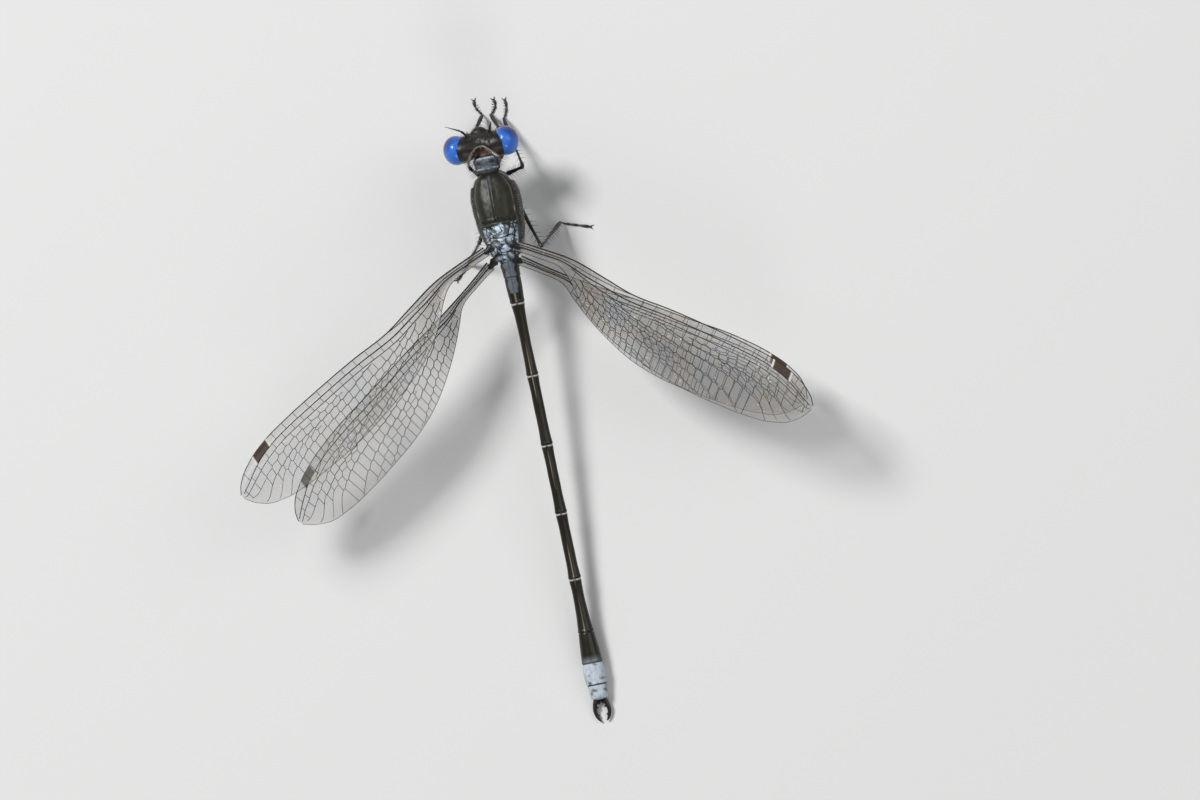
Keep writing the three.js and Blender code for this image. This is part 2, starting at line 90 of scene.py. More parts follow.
def through(table, t):
    """A smooth curve through rows of (place, values): on each stretch the cubic that has the rows'
    values at its ends, and there the slope of the line between the neighbouring rows."""
    table = np.asarray(table, float)
    x, y = table[:, 0], table[:, 1:]
    slope = np.gradient(y, x, axis=0)
    t = np.clip(np.asarray(t, float), x[0], x[-1])
    i = np.clip(np.searchsorted(x, t, side="right") - 1, 0, len(x) - 2)
    h = (x[i + 1] - x[i])[..., None]
    s = (t - x[i])[..., None] / h
    a = (1 + 2 * s) * (1 - s) ** 2 * y[i] + s**2 * (3 - 2 * s) * y[i + 1]
    value = a + h * s * (1 - s) * ((1 - s) * slope[i] - s * slope[i + 1])
    return value[..., 0] if y.shape[1] == 1 else value


def hill(x, middle, width):
    """A smooth bump of height 1 at its middle, a bell curve of the given width."""
    return np.exp(-(((x - middle) / width) ** 2))


def step(x, edge, width):
    """From 0 to 1 across an edge, as a smooth ramp of the given width."""
    s = np.clip((x - edge) / width + 0.5, 0, 1)
    return s * s * (3 - 2 * s)


def until(x, edge, width):
    """From 1 to 0 across an edge, by the same ramp."""
    return step(-x, -edge, width)


def between(x, low, high, width):
    """1 between two edges and 0 outside them, with a ramp at each."""
    return step(x, low, width) * until(x, high, width)


def mask(x):
    """A share: x, kept from 0 to 1."""
    return np.clip(x, 0, 1)


def ripple(points, size, seed):
    """Soft seeded unevenness, mostly from -1 to 1: a fifth of the sum of twelve sine waves in
    random directions."""
    rng = np.random.default_rng(seed)
    waves = rng.normal(size=(12, 3)) / size
    phase = rng.uniform(0, 2 * np.pi, 12)
    return np.sin(np.asarray(points) @ waves.T + phase).sum(-1) / 5


class Shell:
    """One mesh made of closed skins, each a stack of rings of points with its end rings shut."""

    def __init__(self):
        self.points, self.faces, self.slots, self.masks = [], [], [], {}
        self.count = 0

    def add(self, rows, slot=0, **masks):
        """rows is skins x rings x points round x 3, in millimetres of the row frame. The volume of
        the first skin, as tetrahedra on its sides from the middle of its first ring, tells whether
        the faces point outwards; if not, all are turned round."""
        n, k, s, _ = rows.shape
        index = self.count + np.arange(n * k * s).reshape(n, k, s)
        a, b = index[:, :-1], index[:, 1:]
        quads = np.stack([a, np.roll(a, -1, 2), np.roll(b, -1, 2), b], -1).reshape(-1, 4)
        ends = np.concatenate([index[:, 0, ::-1], index[:, -1]])
        flat = rows.reshape(-1, 3)
        corner = flat[quads[: (k - 1) * s] - self.count] - flat[:s].mean(0)
        six = np.einsum("ij,ij->i", corner[:, 0], np.cross(corner[:, 1], corner[:, 2])).sum()
        six += np.einsum("ij,ij->i", corner[:, 0], np.cross(corner[:, 2], corner[:, 3])).sum()
        if six < 0:
            quads, ends = quads[:, ::-1], ends[:, ::-1]
        self.points.append(flat)
        self.faces += quads.tolist() + ends.tolist()
        self.slots += [slot] * (len(quads) + len(ends))
        for name in {**self.masks, **masks}:
            kept = self.masks.setdefault(name, [np.zeros(self.count)] if self.count else [])
            kept.append(np.broadcast_to(masks.get(name, 0.0), (n, k, s)).reshape(-1))
        self.count += n * k * s
        return self

    def piece(self, name, *finishes):
        """The shell as an object that rides on the root, with its masks as attributes."""
        mesh = bpy.data.meshes.new(name)
        mesh.from_pydata(np.concatenate(self.points) * MM, [], self.faces)
        for key, parts in self.masks.items():
            kept = mesh.attributes.new(key, "FLOAT", "POINT")
            kept.data.foreach_set("value", np.concatenate(parts).astype(np.float32))
        mesh.polygons.foreach_set("use_smooth", np.ones(len(self.faces), bool))
        mesh.polygons.foreach_set("material_index", np.array(self.slots, np.int32))
        for finish in finishes:
            mesh.materials.append(finish)
        mesh.update()
        piece = bpy.data.objects.new(name, mesh)
        bpy.context.scene.collection.objects.link(piece)
        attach(piece, "root")
        return piece


def tubes(paths, radii, sides, up=(0, 0, 1)):
    """Round limbs: at each point of each path a ring, square to the path, with the path's radius
    there. radii is one value for each point, or two, across and upright."""
    paths = np.asarray(paths, float)
    paths = paths[None] if paths.ndim == 2 else paths
    radii = np.asarray(radii, float)
    if radii.shape[-1] != 2 or radii.ndim == 1:
        radii = np.stack([radii, radii], -1)
    radii = np.broadcast_to(radii, paths.shape[:2] + (2,))
    along = unit(np.gradient(paths, axis=1))
    across = unit(np.cross(along, np.broadcast_to(up, along.shape)))
    upright = np.cross(across, along)
    turn = 2 * np.pi * (np.arange(sides) + 0.5) / sides
    flat = (radii[..., 0, None] * np.cos(turn))[..., None] * across[:, :, None]
    high = (radii[..., 1, None] * np.sin(turn))[..., None] * upright[:, :, None]
    return paths[:, :, None] + flat + high


def bead(centre, radii, rings=24, sides=32):
    """An ellipsoid from its front pole to its back pole: at angle a from the pole a ring of radius
    sin a, at cos a along."""
    a = np.linspace(0.02, np.pi - 0.02, rings)[:, None]
    t = 2 * np.pi * np.arange(sides) / sides
    points = np.broadcast_arrays(np.sin(a) * np.cos(t), np.cos(a), np.sin(a) * np.sin(t))
    return (np.stack(points, -1) * radii + centre)[None]


def round_grid(places, sides):
    """Places along a skin and angles round it from its underside, as two arrays, rings x points."""
    turn = np.linspace(-np.pi, np.pi, sides, endpoint=False)
    return np.broadcast_arrays(places[:, None], turn)


# The shader's sockets that a finish may set to one value all over.
SOCKETS = {
    "roughness": "Roughness",
    "specular": "Specular IOR Level",
    "coat": "Coat Weight",
    "coat_roughness": "Coat Roughness",
}


class Finish:
    """A procedural material, built up from a few kinds of node."""

    def __init__(self, name, **given):
        self.material = bpy.data.materials.new(name)
        self.material.use_nodes = True
        self.tree = self.material.node_tree
        self.shader = self.tree.nodes["Principled BSDF"]
        self.set(self.shader, {SOCKETS[key]: value for key, value in given.items()})
        self.place = self.add("ShaderNodeTexCoord").outputs["Object"]

    def set(self, node, inputs):
        for key, value in inputs.items():
            socket = node.inputs[key]
            if isinstance(value, bpy.types.NodeSocket):
                self.tree.links.new(value, socket)
            elif socket.type == "RGBA" and len(value) == 3:
                socket.default_value = (*value, 1)
            else:
                socket.default_value = value

    def add(self, kind, inputs=None, **settings):
        node = self.tree.nodes.new(kind)
        for key, value in settings.items():
            setattr(node, key, value)
        self.set(node, inputs or {})
        return node

    def value(self, name):
        return self.add("ShaderNodeAttribute", attribute_name=name).outputs["Fac"]

    def noise(self, size, detail=3.0, rough=0.55, stretch=(1, 1, 1)):
        """Cloudy noise whose grains are about size millimetres across."""
        at = self.add("ShaderNodeMapping", {"Vector": self.place, "Scale": stretch}).outputs[0]
        given = {"Vector": at, "Scale": 1 / (size * MM), "Detail": detail, "Roughness": rough}
        return self.add("ShaderNodeTexNoise", given).outputs["Fac"]

    def cells(self, size, feature="F1"):
        given = {"Vector": self.place, "Scale": 1 / (size * MM)}
        return self.add("ShaderNodeTexVoronoi", given, feature=feature).outputs["Distance"]

    def math(self, kind, a, b=0.0):
        return self.add("ShaderNodeMath", {0: a, 1: b}, operation=kind).outputs[0]

    def ramp(self, value, *stops):
        node = self.add("ShaderNodeValToRGB", {"Fac": value})
        while len(node.color_ramp.elements) < len(stops):
            node.color_ramp.elements.new(0.5)
        for element, (place, colour) in zip(node.color_ramp.elements, stops):
            element.position = place
            element.color = (*np.broadcast_to(colour, 3), 1)
        return node.outputs[0]

    def broken(self, name, grain, *stops):
        """A mask of the mesh, less where a ramp of the grain is dark."""
        return self.math("MULTIPLY", self.value(name), self.ramp(grain, *stops))

    def mix(self, share, a, b):
        """Colour a, with b over it by the share."""
        return self.add("ShaderNodeMix", {0: share, 6: a, 7: b}, data_type="RGBA").outputs[2]

    def bump(self, height, strength, depth):
        given = {"Height": height, "Strength": strength, "Distance": depth * MM}
        if self.shader.inputs["Normal"].is_linked:
            given["Normal"] = self.shader.inputs["Normal"].links[0].from_socket
        self.set(self.shader, {"Normal": self.add("ShaderNodeBump", given).outputs[0]})

    def colour(self, socket):
        self.set(self.shader, {"Base Color": socket})
        return self.material

    def rough(self, value, low, high):
        given = {"Value": value, "To Min": low, "To Max": high}
        self.set(self.shader, {"Roughness": self.add("ShaderNodeMapRange", given).outputs[0]})


def colours():
    return bpy.context.scene.damselfly_colours


def sizes():
    return bpy.context.scene.damselfly_sizes


def eye_finish():
    """Eye: the tone runs from its pale inner, hind and lower part to its indigo outer front rim."""
    f = Finish("eye_blue", roughness=0.2, specular=0.3, coat=0.2, coat_roughness=0.08)
    c = colours()
    cloud = f.math("MULTIPLY", f.math("SUBTRACT", f.noise(0.5), 0.5), 0.16)
    tone = f.math("ADD", f.value("tone"), cloud)
    blue = f.ramp(tone, (0.0, c.eye_pale), (0.3, c.eye_blue), (0.56, c.eye_blue), (0.8, c.eye_rim))
    facets = f.cells(0.035)
    blue = f.mix(f.math("MULTIPLY", facets, 0.25), blue, (0.005, 0.01, 0.06))
    # Painted shade: the dark spot is a pseudopupil, painted on top of the eye where it faces the
    # camera.
    blue = f.mix(f.value("spot"), blue, (0.006, 0.01, 0.05))
    f.bump(facets, 0.25, 0.01)
    return f.colour(blue)


def capsule_finish():
    """Head: charcoal, with a tan line on the hind edge and pale blue lips."""
    f = Finish("head_charcoal", specular=0.35)
    c = colours()
    dark = f.mix(f.noise(0.25, 4), c.capsule, (0.017, 0.015, 0.013))
    fleck = f.broken("fleck", f.noise(0.09, 3), (0.6, 0.0), (0.68, 1.0))
    dark = f.mix(fleck, dark, (0.16, 0.13, 0.09))
    dark = f.mix(f.value("lip"), dark, (0.22, 0.36, 0.42))
    dark = f.mix(f.value("tan"), dark, (0.46, 0.4, 0.3))
    dark = f.mix(f.value("bronze"), dark, (0.09, 0.055, 0.035))
    f.rough(f.noise(0.12), 0.28, 0.55)
    f.bump(f.noise(0.06, 4), 0.35, 0.012)
    return f.colour(dark)


def thorax_finish():
    """Thorax: bronze back, cream stripes, powdery plates with a net of black seams, dark sides."""
    f = Finish("thorax_bronze", specular=0.3)
    c = colours()
    grain = f.noise(0.18, 5)
    back = f.mix(f.noise(0.5, 4), c.bronze, c.bronze_light)
    side = f.mix(grain, (0.009, 0.008, 0.007), (0.045, 0.038, 0.032))
    skin = f.mix(f.value("flank"), back, side)
    skin = f.mix(f.value("brown"), skin, (0.11, 0.06, 0.05))
    skin = f.mix(f.value("stripe"), skin, c.stripe)
    # The slate mask: the collar's own colour, and a painted highlight along the front part of the
    # keel.
    dust_and_highlight = f.broken("slate", grain, (0.34, 0.25), (0.62, 1.0))
    skin = f.mix(dust_and_highlight, skin, c.slate)
    powder = f.broken("bloom", grain, (0.3, 0.5), (0.5, 1.0))
    skin = f.mix(powder, skin, c.bloom)
    net = f.ramp(f.cells(0.5, "DISTANCE_TO_EDGE"), (0.03, 1.0), (0.11, 0.0))
    net = f.math("MULTIPLY", net, f.ramp(f.noise(0.45, 2), (0.42, 0.0), (0.5, 1.0)))
    net = f.math("MULTIPLY", net, f.value("bloom"))
    skin = f.mix(f.math("MAXIMUM", f.value("seam"), net), skin, (0.007, 0.007, 0.007))
    f.rough(f.math("MAXIMUM", f.value("bloom"), f.value("slate")), 0.42, 0.85)
    f.bump(grain, 0.3, 0.02)
    return f.colour(skin)


def abdomen_finish():
    """Tail: bronze black with a faint sheen, pale rings and a painted highlight, a pale line along
    the top of the back, slate at its root and powdery at its end."""
    f = Finish("tail_bronze", specular=0.3)
    c = colours()
    grain = f.noise(0.12, 5, stretch=(1, 0.35, 1))
    dark = f.mix(f.noise(0.6, 3, stretch=(1, 0.25, 1)), c.tail, c.tail_sheen)
    dark = f.mix(f.value("side"), dark, (0.16, 0.12, 0.07))
    # Painted highlight: a pale line along the top of the tail.
    dark = f.mix(f.value("line"), dark, (0.26, 0.23, 0.15))
    dark = f.mix(f.broken("slate", grain, (0.3, 0.6), (0.6, 1.0)), dark, c.slate)
    dark = f.mix(f.broken("bloom", grain, (0.3, 0.7), (0.55, 1.0)), dark, c.bloom_pale)
    dark = f.mix(f.value("ring"), dark, c.pale_ring)
    dark = f.mix(f.value("seam"), dark, (0.01, 0.009, 0.008))
    f.rough(f.math("MAXIMUM", f.value("bloom"), f.value("slate")), 0.3, 0.85)
    f.bump(grain, 0.25, 0.015)
    return f.colour(dark)


def black_finish():
    """Legs, claspers, feelers and the hairs of the face: glossy black with a brown tinge."""
    f = Finish("leg_black", specular=0.6)
    black = f.mix(f.noise(0.3, 4), (0.004, 0.004, 0.004), (0.014, 0.011, 0.009))
    f.rough(f.noise(0.15), 0.25, 0.5)
    f.bump(f.noise(0.08, 4), 0.2, 0.01)
    return f.colour(black)


def membrane_finish():
    """Wing film: clear and faintly smoky, wrinkled between its veins, with painted glints, specks of
    near-white that are also more opaque, and more opaque near the root as a painted reflection.
    """
    c = colours()
    f = Finish("wing_film", roughness=0.35, specular=0.3)
    film = f.noise(2.2, 2)
    tint = f.ramp(film, (0.36, c.membrane), (0.5, (0.26, 0.23, 0.20)), (0.64, (0.21, 0.22, 0.23)))
    # Painted glints: specks of near-white colour that are also more opaque.
    glint = f.ramp(f.noise(0.22, 2), (0.66, 0.0), (0.72, 1.0))
    glint = f.math("MULTIPLY", glint, f.ramp(f.noise(1.6, 2), (0.45, 0.0), (0.6, 1.0)))
    # More opacity near the root, a painted reflection, and a little in one place further out.
    smoke = f.math("ADD", f.math("MULTIPLY", f.value("smoke"), 0.26), 0.2)
    f.set(f.shader, {"Alpha": f.math("ADD", f.math("MULTIPLY", glint, 0.4), smoke)})
    f.bump(f.noise(0.4, 3), 0.7, 0.04)
    return f.colour(f.mix(glint, tint, (0.85, 0.86, 0.88)))


def vein_finish():
    """Wing veins: from dark brown to nearly black, in cloudy patches."""
    f = Finish("wing_vein", roughness=0.5, specular=0.25)
    c = colours()
    return f.colour(f.mix(f.noise(0.8, 3), c.vein, (0.018, 0.013, 0.01)))


def stigma_finish():
    """Wing mark: brown in its middle, with pale ends."""
    f = Finish("wing_mark", roughness=0.6, specular=0.2)
    c = colours()
    brown = f.mix(f.noise(0.2, 3), c.stigma, (0.075, 0.05, 0.034))
    return f.colour(f.mix(f.value("pale"), brown, (0.62, 0.58, 0.5)))


def hair_finish():
    f = Finish("fine_hair", roughness=0.5)
    return f.colour(f.mix(f.noise(1.0), (0.46, 0.44, 0.40), (0.30, 0.28, 0.25)))


# Rounded masses of the head, from its middle: place and radii of each.
HEAD_MASSES = [
    ((0, 0.10, 0), (1.3, 0.72, 0.88)),
    ((1.15, -0.10, 0), (1.35, 0.9, 1.18)),
    ((-1.15, -0.10, 0), (1.35, 0.9, 1.18)),
    ((0, 0.72, -0.20), (0.62, 0.52, 0.45)),
    ((0, 0.68, -0.62), (0.74, 0.4, 0.26)),
    ((0, 0.62, -0.98), (0.7, 0.34, 0.34)),
    ((0, 0.12, -1.15), (0.6, 0.62, 0.3)),
    ((0.64, 0.40, -0.86), (0.24, 0.34, 0.42)),
    ((-0.64, 0.40, -0.86), (0.24, 0.34, 0.42)),
    ((0.72, 0.62, 0.36), (0.2, 0.2, 0.16)),
    ((-0.72, 0.62, 0.36), (0.2, 0.2, 0.16)),
]
HEAD_HOLLOW = ((0, -1.08, 0.1), (1.1, 1.13, 1.35))
OCELLI = [(0.3, 0.1, 0.82), (-0.3, 0.1, 0.82), (0, 0.4, 0.77)]
OCELLUS_RADII = (0.085, 0.07, 0.07)
# The eyes begin outside planes that lean outwards towards the back of the head.
EYE_INNER = 1.6
EYE_LEAN = 0.18
# The sections' places follow a sine up to this angle, so they lie closer together at the eyes.
SECTION_ANGLE = 1.35
# Where the head's skin is looked for, from a section's middle, and a little over one such step.
REACHES = np.linspace(0.05, 1.9, 75)
REACH_STEP = 0.026


def depth_in(p, mass):
    """Roughly how far a point is outside an ellipsoid: its distance in radii, less one, times the
    smallest radius."""
    centre, radii = map(np.array, mass)
    return (np.linalg.norm((p - centre) / radii, axis=-1) - 1) * radii.min()


def head_field(p):
    """Below zero inside the head: a soft least of the masses' depths, kept out of the hollow
    behind it."""
    soft = 20
    joined = -np.log(sum(np.exp(-soft * depth_in(p, mass)) for mass in HEAD_MASSES)) / soft
    return np.maximum(joined, -depth_in(p, HEAD_HOLLOW))


def head_relief(p):
    """How deep the head's skin is cut: the mouth, two lines across the face, a dent beside each of
    the two rear ocelli, and a fine unevenness."""
    x, y, z = np.moveaxis(p, -1, 0)
    mouth = hill(z, -1.2 - 0.1 * np.abs(x), 0.035) * step(y, 0.35, 0.2)
    brow = hill(z, -0.42, 0.03) + hill(z, -0.8, 0.03)
    groove = 0.07 * mouth + 0.03 * brow * step(y, 0.5, 0.2) + 0.008 * ripple(p, 0.09, 3)
    return groove + 0.05 * hill(np.hypot(np.abs(x) - 0.62, y - 0.1), 0, 0.14) * step(z, 0.3, 0.2)


def head_shape(rings=170, sides=200):
    """Sections of the head from one eye's inner plane to the other's. In each, along every ray from
    its middle, the furthest place where the field is nought, found by steps and then by halving."""
    angle = np.linspace(-SECTION_ANGLE, SECTION_ANGLE, rings)[:, None]
    u = EYE_INNER * np.sin(angle) / np.sin(SECTION_ANGLE)
    t = 2 * np.pi * np.arange(sides) / sides
    middle = 0.36 - 0.42 * (u / 1.2) ** 2 * step(1.9 - np.abs(u), 0, 2)

    def at(reach):
        y, z = middle + reach * np.cos(t), -0.1 + reach * np.sin(t)
        return np.stack(np.broadcast_arrays(u - EYE_LEAN * u / EYE_INNER * y, y, z), -1)

    low = np.full((rings, sides), REACHES[0])
    for reach in REACHES:
        low = np.where(head_field(at(reach)) < 0, reach, low)
    high = low + REACH_STEP
    for _ in range(9):
        half = (low + high) / 2
        inside = head_field(at(half)) < 0
        low, high = np.where(inside, half, low), np.where(inside, high, half)
    return at(low - head_relief(at(low)))


class DAMSELFLY_OT_head(bpy.types.Operator):
    """Make the head: a skin of sections round its blended masses, with three bead-like ocelli"""

    bl_idname = "damselfly.head"
    bl_label = "Head"

    def execute(self, context):
        p = head_shape()
        x, y, z = np.moveaxis(p, -1, 0)
        hind_edge = hill(depth_in(p, HEAD_HOLLOW), 0.05, 0.045)
        rim = hind_edge + hill(y, -1.0, 0.1) * step(np.abs(x), 0.9, 0.3)
        shell = Shell().add(
            body(p + HEAD)[None],
            tan=mask(rim * step(z, 0.1, 0.5) * (0.7 + 0.5 * ripple(p, 0.16, 5))),
            lip=until(z, -0.74, 0.05) * step(y, 0.25, 0.15) * (1 - hill(z, -1.2, 0.05)),
            bronze=0.6 * hill(np.hypot(np.abs(x) - 1.0, y + 0.6), 0, 0.22) * step(z, 0.3, 0.3),
            fleck=step(y, 0.1, 0.5) * hill(x, 0, 0.9) * 0.8,
        )
        for spot in OCELLI:
            shell.add(body(bead(HEAD + spot, OCELLUS_RADII, rings=14, sides=20)), slot=1)
        piece = shell.piece("head_shell", capsule_finish(), ocellus_finish())
        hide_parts("head")
        return {"FINISHED"}


def ocellus_finish():
    f = Finish("ocellus_amber", roughness=0.1, coat=0.5)
    return f.colour(f.mix(f.noise(0.1), (0.08, 0.06, 0.04), (0.2, 0.16, 0.1)))


class DAMSELFLY_OT_eyes(bpy.types.Operator):
    """Make the two eyes: ellipsoids sunk in the ends of the head, each with a painted pseudopupil, a
    dark spot of painted shade on top where it faces the camera
    """

    bl_idname = "damselfly.eyes"
    bl_label = "Eyes"

    def execute(self, context):
        finish = eye_finish()
        q = bead(0, 1, rings=72, sides=110)[0]
        x, y, z = np.moveaxis(q, -1, 0)
        for name, side in (("eye_left", -1), ("eye_right", 1)):
            tone = 0.46 + 0.3 * y + 0.24 * side * x - 0.25 * until(z, -0.2, 0.6)
            # A painted pseudopupil: a dark spot of painted shade on top of each eye, where it faces
            # the camera.
            from_top = np.linalg.norm(q - unit(np.array([-0.25 * side, -0.05, 1.0])), axis=-1)
            spot = 0.75 * until(from_top, 0.13, 0.08)
            place = HEAD + EYE_OFFSET * (side, 1, 1)
            shell = Shell().add(body(q * EYE_RADII + place)[None], tone=tone, spot=spot)
            piece = shell.piece(name + "_ball", finish)
            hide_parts(name)
        return {"FINISHED"}


# Points of a feeler from the middle of the head, outwards positive.
FEELERS = {
    "antenna_left": [
        (0.76, 0.68, 0.38), (0.84, 0.86, 0.46), (0.98, 1.06, 0.56),
        (1.2, 1.24, 0.7), (1.7, 1.5, 0.88), (2.05, 1.68, 0.96),
    ],
    "antenna_right": [
        (0.76, 0.68, 0.38), (0.82, 0.86, 0.48), (0.9, 1.06, 0.6),
        (1.0, 1.2, 0.82), (1.12, 1.34, 1.22), (1.2, 1.4, 1.48),
    ],
}
FEELER_RADII = [0.12, 0.1, 0.085, 0.06, 0.03, 0.014]


def side_of(name):
    """1 for a piece on the animal's right and -1 for one on its left."""
    return 1 if name.endswith("right") else -1


class DAMSELFLY_OT_antennae(bpy.types.Operator):
    """Make the feelers: tapering limbs along smooth paths, thick in their first two lengths"""

    bl_idname = "damselfly.antennae"
    bl_label = "Feelers"

    def execute(self, context):
        finish = black_finish()
        t = np.linspace(0, len(FEELER_RADII) - 1, 60)
        waists = 1 - 0.3 * hill(t, 1.55, 0.12) - 0.3 * hill(t, 2.7, 0.14)
        radii = through(list(enumerate(FEELER_RADII)), t) * waists * until(t, 5.1, 0.2)
        for name, points in FEELERS.items():
            path = through([(i, *p) for i, p in enumerate(points)], t) * (side_of(name), 1, 1)
            piece = Shell().add(tubes(body(path + HEAD), radii, 16)).piece(name + "_feeler", finish)
            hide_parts(name)
        return {"FINISHED"}


# Rows of: place along the body, half width, top and bottom, from the tail's root to the head.
TRUNK = [
    (-0.2, 0.5, 0.46, -0.55), (0.12, 0.6, 0.58, -0.7), (0.5, 0.95, 0.72, -1.3),
    (1.1, 1.18, 0.95, -1.95), (1.9, 1.35, 1.15, -2.35), (2.7, 1.45, 1.3, -2.5),
    (3.1, 1.49, 1.28, -2.52), (4.0, 1.54, 1.18, -2.45), (4.9, 1.48, 0.95, -2.1),
    (5.5, 1.25, 0.72, -1.65), (5.9, 0.98, 0.52, -1.25), (6.08, 0.74, 0.32, -1.0),
    (6.2, 0.66, 0.18, -0.9), (6.3, 0.72, 0.22, -0.96), (6.46, 0.85, 0.38, -1.2),
    (6.6, 0.86, 0.44, -1.3), (6.76, 0.82, 0.38, -1.3), (6.95, 0.87, 0.44, -1.25),
    (7.15, 0.8, 0.35, -1.05), (7.3, 0.64, 0.16, -0.8), (7.45, 0.53, 0.06, -0.76),
    (7.66, 0.54, 0.08, -0.82), (7.85, 0.48, 0.05, -0.8), (8.05, 0.36, 0.0, -0.72),
]
# The trunk narrows below its middle height by this share.
LOWER_TAPER = 0.2
# Places along the trunk: where the powdered plates between the wings begin, the bronze back begins
# and ends, and the collar and the neck begin.
PLATES_FROM, BACK_FROM, BACK_TO, COLLAR_FROM, NECK_FROM = 0.12, 2.95, 5.98, 6.22, 7.32
# Angles round it from the middle of the back: where the plates end, the shoulder seam, the flank.
PLATES_SIDE, SHOULDER_SEAM, FLANK_FROM = 0.95, 1.03, 1.06
# Seams across the plates, and the two slanting ones down each flank, by their places.
PLATE_SEAMS = (2.74, 1.8, 1.34, 0.56, 0.18)
FLANK_SEAMS = (3.35, 1.75)
# Humps of the plates: height, place, half length and half width round the trunk.
PLATE_HUMPS = [
    (0.17, 2.25, 0.36, 0.4), (0.16, 1.56, 0.15, 0.3), (0.16, 0.95, 0.3, 0.42),
    (0.12, 0.36, 0.12, 0.3),
]
PLATE_DEPTH = 0.17


def trunk_middle(y):
    return np.interp(y, [0, 5, 7.5, 8.1], [-0.05, -0.08, -0.22, -0.28])


def trunk_point(y, turn):
    """The trunk's plain skin, and its outward direction: round each place along the body a
    squared oval, its sine and cosine raised to 0.85, from the rows' half width, top and bottom."""
    half, top, bottom = np.moveaxis(through(TRUNK, y), -1, 0)
    squared = lambda c: np.sign(c) * np.abs(c) ** 0.85
    wide, high = half * squared(np.sin(turn)), (top - bottom) / 2 * squared(np.cos(turn))
    wide = wide * (1 - LOWER_TAPER * np.maximum(0, -np.cos(turn)) ** 2)
    middle = np.stack([trunk_middle(y), y, (top + bottom) / 2], -1)
    return middle, np.stack([wide, np.zeros_like(half), high], -1)


